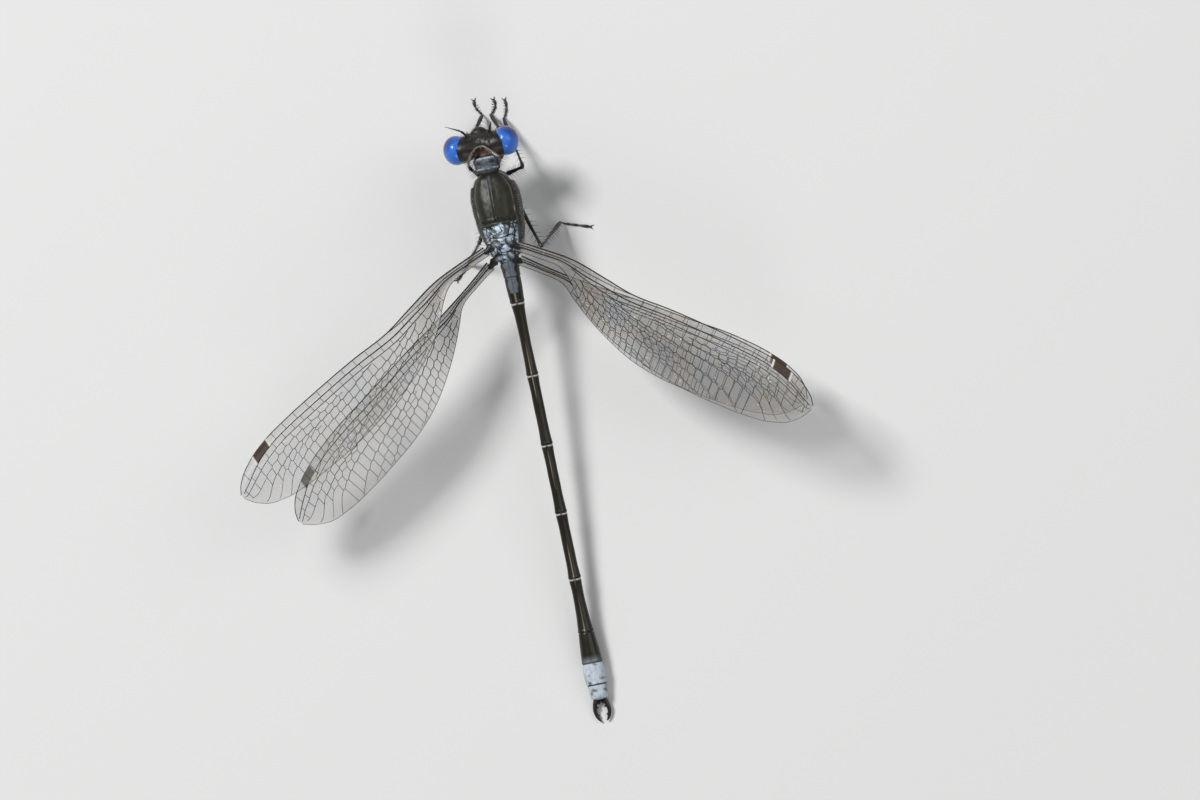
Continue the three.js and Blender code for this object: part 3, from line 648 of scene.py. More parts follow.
def trunk_relief(y, turn):
    """How far the trunk's plates, ridges and seams stand out, and the masks of its colours: sums of
    bell curves, of ramps and of their products, over the place along it and the angle round it."""
    a = np.abs(turn)
    back = between(y, BACK_FROM, BACK_TO, 0.15)
    front_edge = 2.55 + 0.1 * np.sin(9 * a + 1) + 0.08 * np.sin(23 * turn)
    plates = step(y, PLATES_FROM, 0.15) * until(y, front_edge, 0.07) * until(a, PLATES_SIDE, 0.12)
    neck = step(y, NECK_FROM, 0.1)
    collar = step(y, COLLAR_FROM, 0.08) * (1 - neck)

    # The seams: across and along the plates, at the shoulders, and down the flanks.
    curve = y + 0.22 * a**2 + 0.08 * np.sin(5 * turn + y)
    seams = sum(hill(curve, place, 0.035) for place in PLATE_SEAMS)
    seams = seams + 0.8 * hill(a, 0.42 + 0.12 * np.sin(3 * y), 0.04)
    seams = (seams + 0.8 * hill(a, 0.8 + 0.06 * np.sin(7 * y), 0.07)) * plates
    shoulder = hill(a, SHOULDER_SEAM, 0.045) * back
    flank = sum(hill(y - 0.75 * (a - 1.6), place, 0.05) for place in FLANK_SEAMS)
    flank = flank * step(a, 1.1, 0.2) * until(a, 2.6, 0.3) * until(y, 5.6, 0.3) * step(y, 0.5, 0.3)

    # The back: its keel and the swell on each side of it, then the lateral plate and its groove.
    keel = hill(turn, 0, 0.055) * back
    d = 0.1 * keel + 0.05 * hill(a, 0.5, 0.28) * back - 0.06 * shoulder - 0.05 * flank
    d += 0.17 * until(y, 5.42 - 0.1 * (a - 1.4), 0.07) * hill(a, 1.5, 0.36) * step(y, 1.6, 1.6)
    d -= 0.05 * hill(a, 1.12, 0.07) * until(y, 5.4, 0.1) * step(y, 2.2, 0.4)

    # The frilled edge behind the back, the plates, and the collar's two lobes.
    above = until(a, PLATES_SIDE, 0.2)
    frill = hill(y, BACK_FROM, 0.1) + hill(y, 2.68, 0.06)
    d += 0.07 * frill * above * (1 + 0.5 * np.sin(15 * turn))
    humps = sum(h * hill(y, place, long) * hill(a, 0, wide) for h, place, long, wide in PLATE_HUMPS)
    d += plates * (humps - PLATE_DEPTH) - 0.06 * seams
    d += collar * (0.05 * hill(a, 0.5, 0.25) * hill(y, 6.95, 0.12) - 0.04 * hill(a, 0, 0.05))

    # The colours' places: dark patches and pale edges of the collar, its pinched ends, the pale
    # spots of the neck, the thin shoulder stripe, and where the plates' powder has worn off.
    patch = hill(a, 0.5, 0.28) * hill(y, 6.93, 0.17) + hill(a, 1.25, 0.25)
    patch = collar * (patch + 0.7 * hill(y - 0.06 * np.cos(4 * turn), 6.66, 0.035))
    edges = collar * until(a, 1.2, 0.3) * (0.7 * hill(y, 7.2, 0.06) + 0.8 * hill(y, 6.48, 0.045))
    pinch = hill(y, 6.17, 0.1) + hill(y, 7.34, 0.05)
    spots = hill(a, 1.25, 0.32) * hill(y, 7.62, 0.15)
    thin = 0.3 * step(y, 4.1, 0.6) * until(y, 5.8, 0.3) + hill(y, 3.5, 0.2)
    thin = hill(a, 0.9, 0.028) * back * thin
    blotch = 0.5 + 0.5 * np.sin(11 * turn + 2 * np.sin(5 * y)) * np.sin(6 * y + 3 * turn + 0.7)
    powder = plates * (1 - 0.8 * step(y, 1.7, 0.7) * step(blotch, 0.5, 0.12))
    below = 0.5 * step(a, 2.25, 0.5) * (1 - neck) + 0.12 * hill(a, 1.75, 0.3) * until(y, 5.2, 0.6)
    ledge = 0.25 * hill(y, 2.68, 0.05) * above
    dark = 1.3 * seams + 0.9 * shoulder + 0.7 * hill(y, BACK_FROM, 0.14) * above + 0.6 * flank
    return d, {
        "stripe": mask(thin + spots + 0.6 * hill(y, 6.33, 0.05) * hill(a, 0.35, 0.3)),
        "brown": neck * (1 - spots),
        "flank": step(a, FLANK_FROM, 0.08) * (1 - collar),
        "bloom": mask(powder + edges + below),
        # Slate: the collar's own colour, a painted highlight along the keel's front part, and the
        # ledge.
        "slate": mask(collar * until(a, 1.5, 0.4) + 0.5 * keel * step(y, 5.0, 0.5) + ledge),
        "seam": mask(dark + 0.85 * patch + pinch + 0.6 * keel * until(y, 5.0, 0.5)),
    }


# Rows of the knob that a wing hinges on: place along the span, from the wing's root, and half
# thickness along the chord and upright.
KNOB = [
    (-1, 0.24, 0.22), (-0.6, 0.26, 0.22), (-0.3, 0.27, 0.2), (-0.1, 0.24, 0.16), (0.08, 0.17, 0.1),
    (0.25, 0.06, 0.05),
]
KNOB_SIDES = 24


def wing_knob(wing):
    """The knob of a wing and its masks: a limb along the span whose thickness goes in waves, and
    whose inner end sinks into the trunk."""
    origin, span, chord, _ = wing_frame(wing)
    t = np.linspace(KNOB[0][0], KNOB[-1][0], 26)
    wave = np.sin(14 * t)
    thick = through(KNOB, t) * (1 + 0.16 * wave)[:, None]
    middle = origin + t[:, None] * span - 0.3 * chord - until(t, -0.5, 0.8)[:, None] * (0, 0, 0.2)
    turn = np.linspace(0, 2 * np.pi, KNOB_SIDES, endpoint=False)
    dust = until(t, -0.5, 0.3)[:, None] * (0.5 + 0.5 * np.sin(2 * turn + 5 * t[:, None]))
    dark = mask(0.85 * step(t, -0.35, 0.2) + 0.6 * hill(wave, -1, 0.3))[:, None]
    return tubes(body(middle), thick, KNOB_SIDES), {"bloom": 0.9 * dust, "seam": dark, "flank": 1.0}


# Where each leg's first joint ends, in the body frame, and the way from there to its start inside
# the thorax, for a leg on the animal's right.
HIPS = {
    "fore_right": (0.45, 6.85, -1.6), "fore_left": (-0.79, 6.85, -1.6),
    "mid_right": (0.55, 5.85, -2.3), "mid_left": (-0.75, 5.75, -2.3),
    "hind_right": (0.9, 4.2, -3.05), "hind_left": (-1.05, 4.2, -3.05),
}
COXA_INNER = np.array([-0.5, 0.1, 0.9])


class DAMSELFLY_OT_thorax(bpy.types.Operator):
    """Make the trunk: one skin over thorax, collar and neck, with the knobs of the wings"""

    bl_idname = "damselfly.thorax"
    bl_label = "Thorax and neck"

    def execute(self, context):
        places = np.concatenate([np.linspace(-0.2, 6.0, 230), np.linspace(6.02, 8.05, 90)])
        y, turn = round_grid(places, 240)
        middle, out = trunk_point(y, turn)
        d, masks = trunk_relief(y, turn)
        d = d + 0.008 * ripple(middle + out, 0.12, 11) + 0.012 * ripple(middle + out, 0.4, 12)
        p = middle + out * (1 + d / np.linalg.norm(out, axis=-1))[..., None]
        shell = Shell().add(body(p)[None], **masks)
        for wing in WING_ROOTS.values():
            rows, masks = wing_knob(wing)
            shell.add(rows, **masks)
        piece = shell.piece("thorax_skin", thorax_finish())
        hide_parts("synthorax", "prothorax", "neck")
        return {"FINISHED"}


# Where the first nine of the tail's ten rings end, counted back from its root.
JOINTS = np.array([1.0, 2.77, 7.73, 12.53, 17.23, 21.73, 25.43, 27.53, 29.03])
# Rows of: place, half width, half height.
TAIL = [
    (-0.1, 0.5, 0.5), (0.05, 0.62, 0.62), (0.5, 0.6, 0.62), (0.97, 0.56, 0.58), (1.7, 0.55, 0.58),
    (2.5, 0.5, 0.52), (2.75, 0.48, 0.48), (3.2, 0.42, 0.42), (4.2, 0.37, 0.36), (6.6, 0.36, 0.34),
    (7.4, 0.38, 0.37), (7.73, 0.4, 0.38), (8.3, 0.37, 0.35), (10, 0.36, 0.33), (11.6, 0.36, 0.34),
    (12.53, 0.4, 0.38), (13.1, 0.37, 0.35), (14.8, 0.36, 0.33), (16.3, 0.36, 0.34),
    (17.23, 0.4, 0.38), (17.8, 0.37, 0.35), (19.4, 0.37, 0.34), (20.9, 0.38, 0.35),
    (21.73, 0.42, 0.39), (22.3, 0.39, 0.37), (23.8, 0.41, 0.39), (24.9, 0.48, 0.44),
    (25.43, 0.53, 0.49), (26.2, 0.6, 0.56), (27.1, 0.68, 0.62), (27.53, 0.69, 0.62),
    (28.0, 0.74, 0.68), (28.6, 0.73, 0.67), (29.03, 0.67, 0.62), (29.4, 0.64, 0.6),
    (29.85, 0.58, 0.54), (30.0, 0.46, 0.42), (30.06, 0.2, 0.18),
]
TAIL_SAG = 0.2


def tail_height(u):
    return -TAIL_SAG * (u / 29) ** 2


def flat_on_floor(points):
    """Nothing reaches under the floor: what would lies on it."""
    return np.concatenate([points[..., :2], np.maximum(points[..., 2:], 0.004)], -1)


def at_joints(u, shift, width):
    """A bell curve at every joint of the tail, moved back by the shift."""
    return sum(hill(u, joint + shift, width) for joint in JOINTS)


def tail_skin(u, turn):
    """Ovals along the tail's line, from the rows' half width and height. Each ring is flared at its
    hind edge with a nick behind it. A low keel runs along the back and a groove below each side."""
    flare = 0.02 * at_joints(u, -0.09, 0.08) - 0.045 * at_joints(u, 0.03, 0.035)
    keel = 0.015 * hill(turn, 0, 0.12) * step(u, 2.9, 0.2) - 0.03 * hill(np.abs(turn), 2.5, 0.08)
    wide, high = np.moveaxis(through(TAIL, u), -1, 0) + flare + keel
    line = np.stack([np.zeros_like(u), -u, tail_height(u)], -1)
    out = np.stack([wide * np.sin(turn), np.zeros_like(u), high * np.cos(turn)], -1)
    return line + out * (1 + 0.012 * ripple(line + out, 0.3, 21))[..., None]


def tail_masks(u, turn, p):
    """The masks of the tail's colours: pale rings at five joints, a painted highlight as a broken
    pale line along the top of the back, a band low on each side, slate on the first two rings,
    powder on the last ones, and dark seams."""
    a = np.abs(turn)
    first, second, _, _, _, _, seventh, eighth, _ = JOINTS
    slim = between(u, 2.8, 25.4, 0.06)
    ring_two = between(u, first, second, 0.06)
    ring_eight = between(u, seventh, eighth, 0.05)
    dark_end = ring_two * step(u, 1.75 + 0.35 * np.cos(turn), 0.15)
    specks = mask(ripple(p, 0.16, 8) * 1.5 - 0.7)
    pale_rings = sum(hill(u, joint + 0.09, 0.05) for joint in JOINTS[1:6])
    # Painted highlight: a pale line along the top of the tail, broken up by a ripple.
    line = hill(turn, 0, 0.06) * slim * (0.35 + 0.9 * ripple(p, 0.7, 31))
    slate = mask(until(u, first, 0.05) + ring_two * (1 - dark_end))
    slate = slate * (1 - 0.6 * hill(turn, 0, 0.08))
    powder = step(u, 27.5, 0.06) * (1 - 0.5 * specks)
    dark = 0.9 * at_joints(u, 0.02, 0.03) + 0.7 * at_joints(u, -0.01, 0.05) * step(u, 25, 1)
    return {
        "ring": mask(pale_rings * (1 - hill(turn, 0, 0.2)) * until(a, 2.3, 0.4)),
        # The painted highlight line, which also runs over the dark end of the second ring.
        "line": mask(line + 0.8 * hill(turn, 0, 0.1) * dark_end),
        "side": slim * hill(a, 2.0, 0.35) * 0.5,
        "slate": slate * until(a, 0.62 + 0.08 * np.sin(9 * u), 0.25) * 0.85,
        "bloom": mask(powder + 0.3 * ring_eight * hill(a, 0.4, 0.6) * step(u, 27.2, 0.5)),
        "seam": mask(dark + 0.5 * step(u, 27.5, 0.1) * specks),
    }


class DAMSELFLY_OT_abdomen(bpy.types.Operator):
    """Make the tail: ovals along its line, with its rings, and two small flaps under its end"""

    bl_idname = "damselfly.abdomen"
    bl_label = "Tail"

    def execute(self, context):
        rounded_end = 30 + 0.06 * np.sin(np.linspace(0.1, np.pi / 2, 9))
        u, turn = round_grid(np.concatenate([np.linspace(-0.1, 30, 860), rounded_end]), 52)
        p = tail_skin(u, turn)
        shell = Shell().add(flat_on_floor(body(p))[None], **tail_masks(u, turn, p))
        for side in (-1, 1):
            place = np.array([0.17 * side, -30.12, tail_height(30) - 0.16])
            flap = bead(place, (0.17, 0.28, 0.16), rings=16, sides=18)
            shell.add(flat_on_floor(body(flap)), seam=0.8)
        piece = shell.piece("abdomen_skin", abdomen_finish())
        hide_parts(*(f"abdomen_{n}" for n in range(1, 11)))
        return {"FINISHED"}


# Points of a clasper: out from the middle line, place along the tail and radius.
CLASPER = [
    (0.3, 29.98, 0.13), (0.35, 30.2, 0.16), (0.43, 30.48, 0.155), (0.48, 30.76, 0.14),
    (0.45, 31.06, 0.12), (0.34, 31.34, 0.1), (0.2, 31.55, 0.045),
]
# Its teeth: place along the tail and length.
TEETH = ((30.55, 0.2), (31.1, 0.14))


class DAMSELFLY_OT_claspers(bpy.types.Operator):
    """Make the two tail claspers: bent limbs like tongs, each with two teeth on its inner side"""

    bl_idname = "damselfly.claspers"
    bl_label = "Tail claspers"

    def execute(self, context):
        finish = black_finish()
        t = np.linspace(0, len(CLASPER) - 1, 70)
        x, u, r = np.moveaxis(through([(i, *row) for i, row in enumerate(CLASPER)], t), -1, 0)
        radii = np.stack([r, r * (0.8 - 0.3 * step(t, 4, 2))], -1)
        s = np.linspace(0, 1, 8)[:, None]
        for name in ("cercus_left", "cercus_right"):
            side = side_of(name)
            path = np.stack([side * x, -u, tail_height(u) + 0.02], -1)
            shell = Shell().add(flat_on_floor(tubes(body(path), radii, 20)))
            for place, long in TEETH:
                out = through([(u0, x0) for x0, u0, _ in CLASPER], np.array([place]))[0] - 0.08
                line = [side * (out - long * s), -place - 0.06 * s, 0 * s + tail_height(place)]
                thick = 0.085 * (1 - s[:, 0]) ** 0.7 + 0.008
                shell.add(flat_on_floor(tubes(body(np.concatenate(line, 1)), thick, 12)))
            piece = shell.piece(name + "_tong", finish)
            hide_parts(name)
        return {"FINISHED"}


# Knee, ankle and toe of each leg, from the floor under the body's origin, and how far the foot
# bows to the animal's right.
FEET = {
    "fore_right": ((1.25, 8.15, 3.2), (0.07, 10.81, 0.5), (0.36, 11.9), 0.2),
    "fore_left": ((-1.5, 8.6, 3.1), (-0.51, 10.88, 0.5), (-0.93, 12.1), -0.16),
    "mid_right": ((2.02, 6.33, 3.9), (0.89, 10.37, 0.5), (1.12, 11.72), 0.14),
    "mid_left": ((-1.6, 7.0, 3.5), (-2.2, 8.9, 0.5), (-1.75, 9.9), -0.08),
    "hind_right": ((2.32, 0.65, 4.5), (3.37, 2.62, 0.5), (5.35, 1.95), 0.0),
    "hind_left": ((-1.85, 1.9, 3.7), (-3.28, 1.19, 0.5), (-4.35, 0.2), 0.0),
}
# Rows of each length of a leg: share of the way along it, and radius there, in millimetres for the
# first joint and as a share of the length's own radius for the others.
COXA = [
    (0, 0.4), (0.45, 0.38), (0.6, 0.31), (0.66, 0.27), (0.75, 0.29), (0.88, 0.25), (0.96, 0.17),
    (1, 0.09),
]
THIGH = [
    (0, 0.8), (0.07, 1.1), (0.12, 0.82), (0.16, 1), (0.5, 0.95), (0.9, 0.85), (0.96, 1.02),
    (1, 0.8),
]
SHIN = [(0, 0.75), (0.03, 1.05), (0.1, 0.85), (0.6, 0.9), (0.95, 1.05), (1, 0.8)]
HEEL = [(0, 0.8), (1, 0.9)]
FOOT = [
    (0, 0.8), (0.04, 1), (0.2, 1), (0.23, 0.8), (0.27, 1), (0.5, 0.95), (0.53, 0.75), (0.57, 0.9),
    (0.97, 0.8), (1, 0.5),
]
# The heel's share of the way from ankle to toe.
HEEL_AT = 0.12


def cones(roots, out, length, radius, bend=(0, 0, 0), rings=4, sides=5):
    """Bristles: tapering limbs from their roots along their directions, bending over by the square
    of the way along."""
    s = np.linspace(0, 1, rings)[None, :, None]
    length = np.broadcast_to(length, roots.shape[:1])[:, None, None]
    paths = roots[:, None] + out[:, None] * s * length + np.asarray(bend) * s**2 * length
    return tubes(paths, radius * (1 - 0.88 * s[..., 0]), sides, up=(0.31, 0.17, 0.93))


def limb_rings(a, b, table, radius=1.0, rings=60, sides=18, bow=0.0):
    """A length of leg from a to b: rings whose radius follows the table by the share of the way,
    and which bow to the right by a parabola of the given height. A small ring rounds each end."""
    t = np.concatenate([[-0.012], np.linspace(0, 1, rings), [1.012]])
    radii = radius * through(table, mask(t)) * np.where((t < 0) | (t > 1), 0.35, 1)
    path = a + (b - a) * t[:, None]
    path[:, 0] += 4 * bow * t * (1 - t)
    return tubes(path, radii, sides, up=(0.1, 1, 0.2))


def bristles(a, b, radius, count, long, seed, spread):
    """Two combs of bristles down a length of leg, on its lower side, slanting towards its end."""
    rng = np.random.default_rng(seed)
    along = unit(b - a)
    side = unit(np.cross(along, (0, 0, 1)))
    down = unit(np.cross(along, side))
    down = down * np.sign(-down[2] + 1e-9)
    t = np.tile(np.linspace(0.1, 0.93, count), 2) + rng.uniform(-0.02, 0.02, 2 * count)
    hand = np.repeat([-1.0, 1.0], count)[:, None]
    out = down * 0.8 + side * hand * spread + along * 0.45
    out = unit(out + rng.normal(size=(2 * count, 3)) * 0.06)
    roots = a + (b - a) * t[:, None] + out * radius * 0.6
    lengths = long * (0.75 + 0.5 * np.sin(np.pi * t)) * rng.uniform(0.85, 1.1, 2 * count)
    return cones(roots, out, lengths, radius=0.024)


def foot_claws(heel, toe, bow):
    """The two claws: cones from the toe, spread to both sides, that rise and bend down again."""
    ahead = unit((toe - heel) * (1, 1, 0) - (1.6 * bow, 0, 0))
    across = np.cross(ahead, (0, 0, 1))
    roots = np.stack([toe + across * h - 0.04 * ahead for h in (-0.05, 0.05)])
    out = np.stack([unit(ahead + across * h + (0, 0, 0.5)) for h in (-0.6, 0.6)])
    return cones(roots, out, length=0.26, radius=0.04, bend=(0, 0, -0.62), rings=7, sides=8)


class DAMSELFLY_OT_legs(bpy.types.Operator):
    """Make the six legs: coxa, trochanter, femur, tibia and jointed foot, with combs of bristles"""

    bl_idname = "damselfly.legs"
    bl_label = "Legs"

    def execute(self, context):
        finish = black_finish()
        s = sizes()
        f, t, w = s.femur_radius / MM, s.tibia_radius / MM, s.tarsus_radius / MM
        long = s.spine_length / MM
        for n, (name, (knee, ankle, toe, bow)) in enumerate(FEET.items()):
            hip = np.array(HIPS[name])
            root, hip = body(hip + COXA_INNER * (side_of(name), 1, 1)), body(hip)
            knee, ankle, toe = ground(knee), ground(ankle), ground((*toe, w * 0.62))
            heel = (ankle * (1 - HEEL_AT) + toe * HEEL_AT) * (1, 1, 0) + (0, 0, w * 1.1)
            shell = Shell()
            shell.add(limb_rings(root, hip + 0.12 * unit(hip - root), COXA, rings=50, sides=24))
            shell.add(limb_rings(hip, knee, THIGH, f))
            shell.add(limb_rings(knee, ankle, SHIN, t))
            shell.add(limb_rings(ankle, heel, HEEL, w, rings=8))
            shell.add(flat_on_floor(limb_rings(heel, toe, FOOT, w, rings=70, bow=bow)))
            shell.add(flat_on_floor(foot_claws(heel, toe, bow)))
            shell.add(bristles(hip, knee, f, 8, 0.95 * long, seed=40 + n, spread=1.3))
            shell.add(bristles(knee, ankle, t, 11, 0.85 * long, seed=60 + n, spread=0.8))
            shell.add(flat_on_floor(bristles(heel, toe, w, 6, 0.3 * long, seed=80 + n, spread=0.5)))
            piece = shell.piece("leg_" + name, finish)
            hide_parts("femur_" + name, "tibia_" + name, "tarsus_" + name)
        return {"FINISHED"}


# Of each wing, in the body frame: where it starts, where its tip is in plan, the angle by which it
# rises, in degrees, and whether it is a hind wing.
WING_ROOTS = {
    "wing_fore_left": {"at": (-1.31, 1.25, 1.4), "tip": (-20.4, -11.6), "rise": 9.5, "hind": False},
    "wing_fore_right": {"at": (1.12, 1.15, 1.4), "tip": (19.0, -13.6), "rise": 9.5, "hind": False},
    "wing_hind_left": {"at": (-1.36, 0.22, 0.72), "tip": (-17.5, -14.25), "rise": 1, "hind": True},
    "wing_hind_right": {"at": (0.98, 0.2, 0.72), "tip": (17.4, -12.6), "rise": 1, "hind": True},
}
WING_TWIST = np.radians(4)
# Edges of the two kinds of wing: place along the span and height over the line from root to tip.
FORE_LEADING = [
    (0, 0.05), (1.6, 0.35), (3.9, 0.7), (6.5, 0.65), (8.6, 0.57), (11.6, 0.93), (14.9, 1.2),
    (17.8, 1.35), (19.5, 1.34), (21.3, 1.05), (22.4, 0.62), (23.0, 0.2), (23.3, -0.15),
]
FORE_TRAILING = [
    (0, -0.6), (1.6, -0.32), (3.6, -0.22), (4.6, -0.72), (5.9, -1.6), (7.4, -2.3), (9.1, -2.8),
    (11.8, -3.15), (15.3, -3.3), (17.4, -3.15), (19.4, -2.9), (21.4, -2.4), (22.6, -1.65),
    (23.1, -0.95), (23.3, -0.45),
]
HIND_LEADING = [
    (0, 0.05), (1.6, 0.1), (4.5, 0.35), (8.0, 0.82), (11.8, 1.24), (15.6, 1.66), (17.9, 1.66),
    (19.6, 1.4), (20.8, 0.9), (21.35, 0.4), (21.6, 0.0),
]
HIND_TRAILING = [
    (0, -0.6), (1.6, -0.42), (3.5, -0.46), (4.4, -0.94), (5.9, -1.67), (7.8, -2.4), (9.9, -2.96),
    (12.4, -3.15), (14.7, -3.0), (16.8, -2.76), (18.9, -2.34), (20.5, -1.65), (21.3, -0.8),
    (21.6, -0.35),
]
# On a forewing's span: where its bare stalk ends, the notch in its leading edge, and the ends of the
# mark near its tip.
STALK, NODUS, STIGMA = 4.4, 8.6, (19.45, 21.1)

# Long veins of a forewing: rows of place along the span and share of the chord from the leading
# edge; then radius at root and tip, and how far it zigzags between cross veins.
LONG_VEINS = {
    "subcosta": ([(0, 0.28), (2, 0.3), (4, 0.25), (6, 0.12), (8.6, 0.005)], 0.045, 0.04, 0.0),
    "radius": ([
        (0, 0.5), (2, 0.5), (4, 0.42), (5.9, 0.24), (8.6, 0.15), (12, 0.12), (16, 0.115),
        (19.4, 0.125), (21.1, 0.165), (22.3, 0.24), (23.1, 0.3),
    ], 0.075, 0.04, 0.0),
    "first_branch": ([
        (4.1, 0.5), (5.9, 0.36), (8.6, 0.265), (12, 0.215), (16, 0.205), (19.4, 0.225),
        (21.5, 0.31), (22.8, 0.45), (23.15, 0.55),
    ], 0.05, 0.03, 0.0),
    "first_fan": ([
        (13.6, 0.27), (15, 0.29), (19.4, 0.335), (21.5, 0.48), (22.9, 0.72),
    ], 0.03, 0.024, 0.04),
    "second_branch": ([
        (10.9, 0.25), (13, 0.335), (16, 0.385), (19.4, 0.46), (21.3, 0.64), (22.4, 0.94),
    ], 0.042, 0.028, 0.03),
    "fan_a": ([(16.2, 0.42), (18.5, 0.5), (20.5, 0.68), (21.6, 0.97)], 0.026, 0.022, 0.07),
    "second_fan": ([
        (7.6, 0.3), (10, 0.4), (13, 0.46), (16, 0.505), (18.6, 0.62), (20.2, 0.8), (20.9, 0.99),
    ], 0.042, 0.026, 0.03),
    "third_branch": ([
        (6.8, 0.38), (9, 0.49), (12, 0.56), (15, 0.64), (17.6, 0.81), (18.9, 0.99),
    ], 0.042, 0.026, 0.04),
    "fan_c": ([(10.5, 0.6), (13, 0.68), (15.5, 0.8), (17.5, 0.99)], 0.028, 0.022, 0.07),
    "media": ([
        (5.0, 0.6), (7, 0.59), (9, 0.64), (12, 0.74), (14.5, 0.87), (16, 0.99),
    ], 0.045, 0.026, 0.05),
    "cubitus": ([(4.6, 0.78), (7, 0.77), (9, 0.81), (11, 0.9), (12.4, 0.99)], 0.042, 0.026, 0.05),
}
# The vein radius, in metres, at which a long vein's radii are the ones given above.
TABLE_VEIN = 0.00005
# How far apart the cross veins behind a long vein are, and behind any other.
CROSS_STEP = {
    "costa": 1.05, "radius": 0.88, "first_branch": 0.8, "subcosta": 1.5, "cubitus": 0.5,
    "media": 0.55,
}
OTHER_CROSS_STEP = 0.66
# Behind these the cross veins run straight back; behind the others they lean towards the tip.
STRAIGHT_BEHIND = ("costa", "radius", "first_branch")
CROSS_LEAN = 0.1
# A cross vein is at least this long.
SHORTEST_CROSS = 0.16


def wing_frame(wing):
    """Where a wing starts in the body frame, with its span, its chord towards the leading edge and
    its upward normal: the span runs from root to tip in plan and rises by an angle, and the chord
    is square to it and turned nose down by the twist."""
    at, tip, rise = np.array(wing["at"]), np.array(wing["tip"]), np.radians(wing["rise"])
    side = np.sign(tip[0])
    flat = unit(np.array([*(tip - at[:2]), 0]))
    span = flat * np.cos(rise) + (0, 0, np.sin(rise))
    ahead = np.array([-side * flat[1], side * flat[0], 0])
    lift = np.cross(span, ahead) * side
    chord = ahead * np.cos(WING_TWIST) - lift * np.sin(WING_TWIST)
    return at, span, chord, np.cross(span, chord) * side


class WingSheet:
    """A wing's middle surface: a point is a place along the span and a share of the chord."""

    def __init__(self, wing):
        self.origin, self.span, self.chord, self.normal = wing_frame(wing)
        self.leading = HIND_LEADING if wing["hind"] else FORE_LEADING
        self.trailing = HIND_TRAILING if wing["hind"] else FORE_TRAILING
        self.length = self.leading[-1][0]
        self.scale = self.length / FORE_LEADING[-1][0]

    def width(self, e):
        return through(self.leading, e) - through(self.trailing, e)

    def point(self, e, v, lift=0.0):
        """Along the span by e, back from the leading edge by share v of the chord, and up by the
        wing's bow, a half sine along the span, and by pleats that follow its long veins."""
        u = mask(e / self.length)
        across = through(self.leading, e) - v * self.width(e)
        bow = 0.25 * np.sin(np.pi * u) + 0.08 * np.sin(2 * np.pi * v)
        pleat = 0.04 * np.cos(2 * np.pi * v / 0.14) * np.exp(-2.2 * v) * np.sin(np.pi * u) ** 0.5
        up = bow + pleat + lift
        flat = self.origin + e[..., None] * self.span + across[..., None] * self.chord
        return body(flat + up[..., None] * self.normal)

    def skin(self, e, v, half):
        """A closed skin round part of the sheet: the upper side of each ring, and back below it."""
        return np.concatenate([self.point(e, v, half), self.point(e, v, -half)[:, ::-1]], 1)[None]

    def vein(self, e, v, radii, sides):
        """Veins along the sheet, a fifth lower than they are wide."""
        radii = np.stack([radii, radii * 0.8], -1)
        return tubes(self.point(e, v), radii, sides, up=TURN @ self.normal)


def to_scale(rows, k):
    """A forewing's rows on a wing whose span is k times as long."""
    return [(e * k, v) for e, v in rows]


def chord_at(rows, e, zigzag=None):
    """A long vein's share of the chord at e, with its zigzag; nothing outside its length."""
    v = through(rows, e)
    if zigzag is not None:
        v = v + np.interp(e, *zigzag)
    return np.where((e < rows[0][0]) | (e > rows[-1][0]), np.nan, v)


def cross_veins(sheet, veins, rng):
    """For each long vein but the last: its number, where its cross veins start, where they end, and
    the number of the long vein each ends on, the nearest one behind."""
    k = sheet.scale
    crosses = []
    for i, (name, rows, *_) in enumerate(veins[:-1]):
        low, high = rows[0][0], rows[-1][0]
        gap = CROSS_STEP.get(name, OTHER_CROSS_STEP)
        start = (NODUS + 0.95) * k if name == "costa" else max(low + 0.35, STALK * k)
        e = np.arange(start, high - 0.15, gap)
        e = e + rng.uniform(-0.06, 0.06, len(e)) * gap
        end = e + (0.0 if name in STRAIGHT_BEHIND else CROSS_LEAN)
        v = chord_at(rows, e)
        behind = np.stack([chord_at(others, end) for _, others, *_ in veins[1:]])
        behind = np.where(behind > v + 0.012, behind, np.nan)
        if name == "costa":
            behind[0] = np.nan
        target = np.argmin(np.where(np.isnan(behind), np.inf, behind), 0)
        reach = (np.take_along_axis(behind, target[None], 0)[0] - v) * sheet.width(e)
        good = reach > SHORTEST_CROSS
        if name == "costa":
            good &= ~((e > STIGMA[0] * k - 0.1) & (e < STIGMA[1] * k + 0.1))
        crosses.append((i, e[good], end[good], target[good] + 1))
    return crosses


def zigzags(sheet, veins, crosses):
    """Where cross veins meet each long vein, and how far they draw it aside, as a share of the
    chord: back where they start on it, and forward where they end on it."""
    shifts = []
    for i, (*_, zigzag) in enumerate(veins):
        pulls = [(e, 1.0) for j, starts, _, _ in crosses if j == i for e in starts]
        pulls += [(e, -1.0) for _, _, ends, targets in crosses for e in ends[targets == i]]
        if zigzag and pulls:
            places, sign = np.array(sorted(pulls)).T
            shifts.append((places, sign * zigzag / np.maximum(sheet.width(places), 0.3)))
        else:
            shifts.append(None)
    return shifts


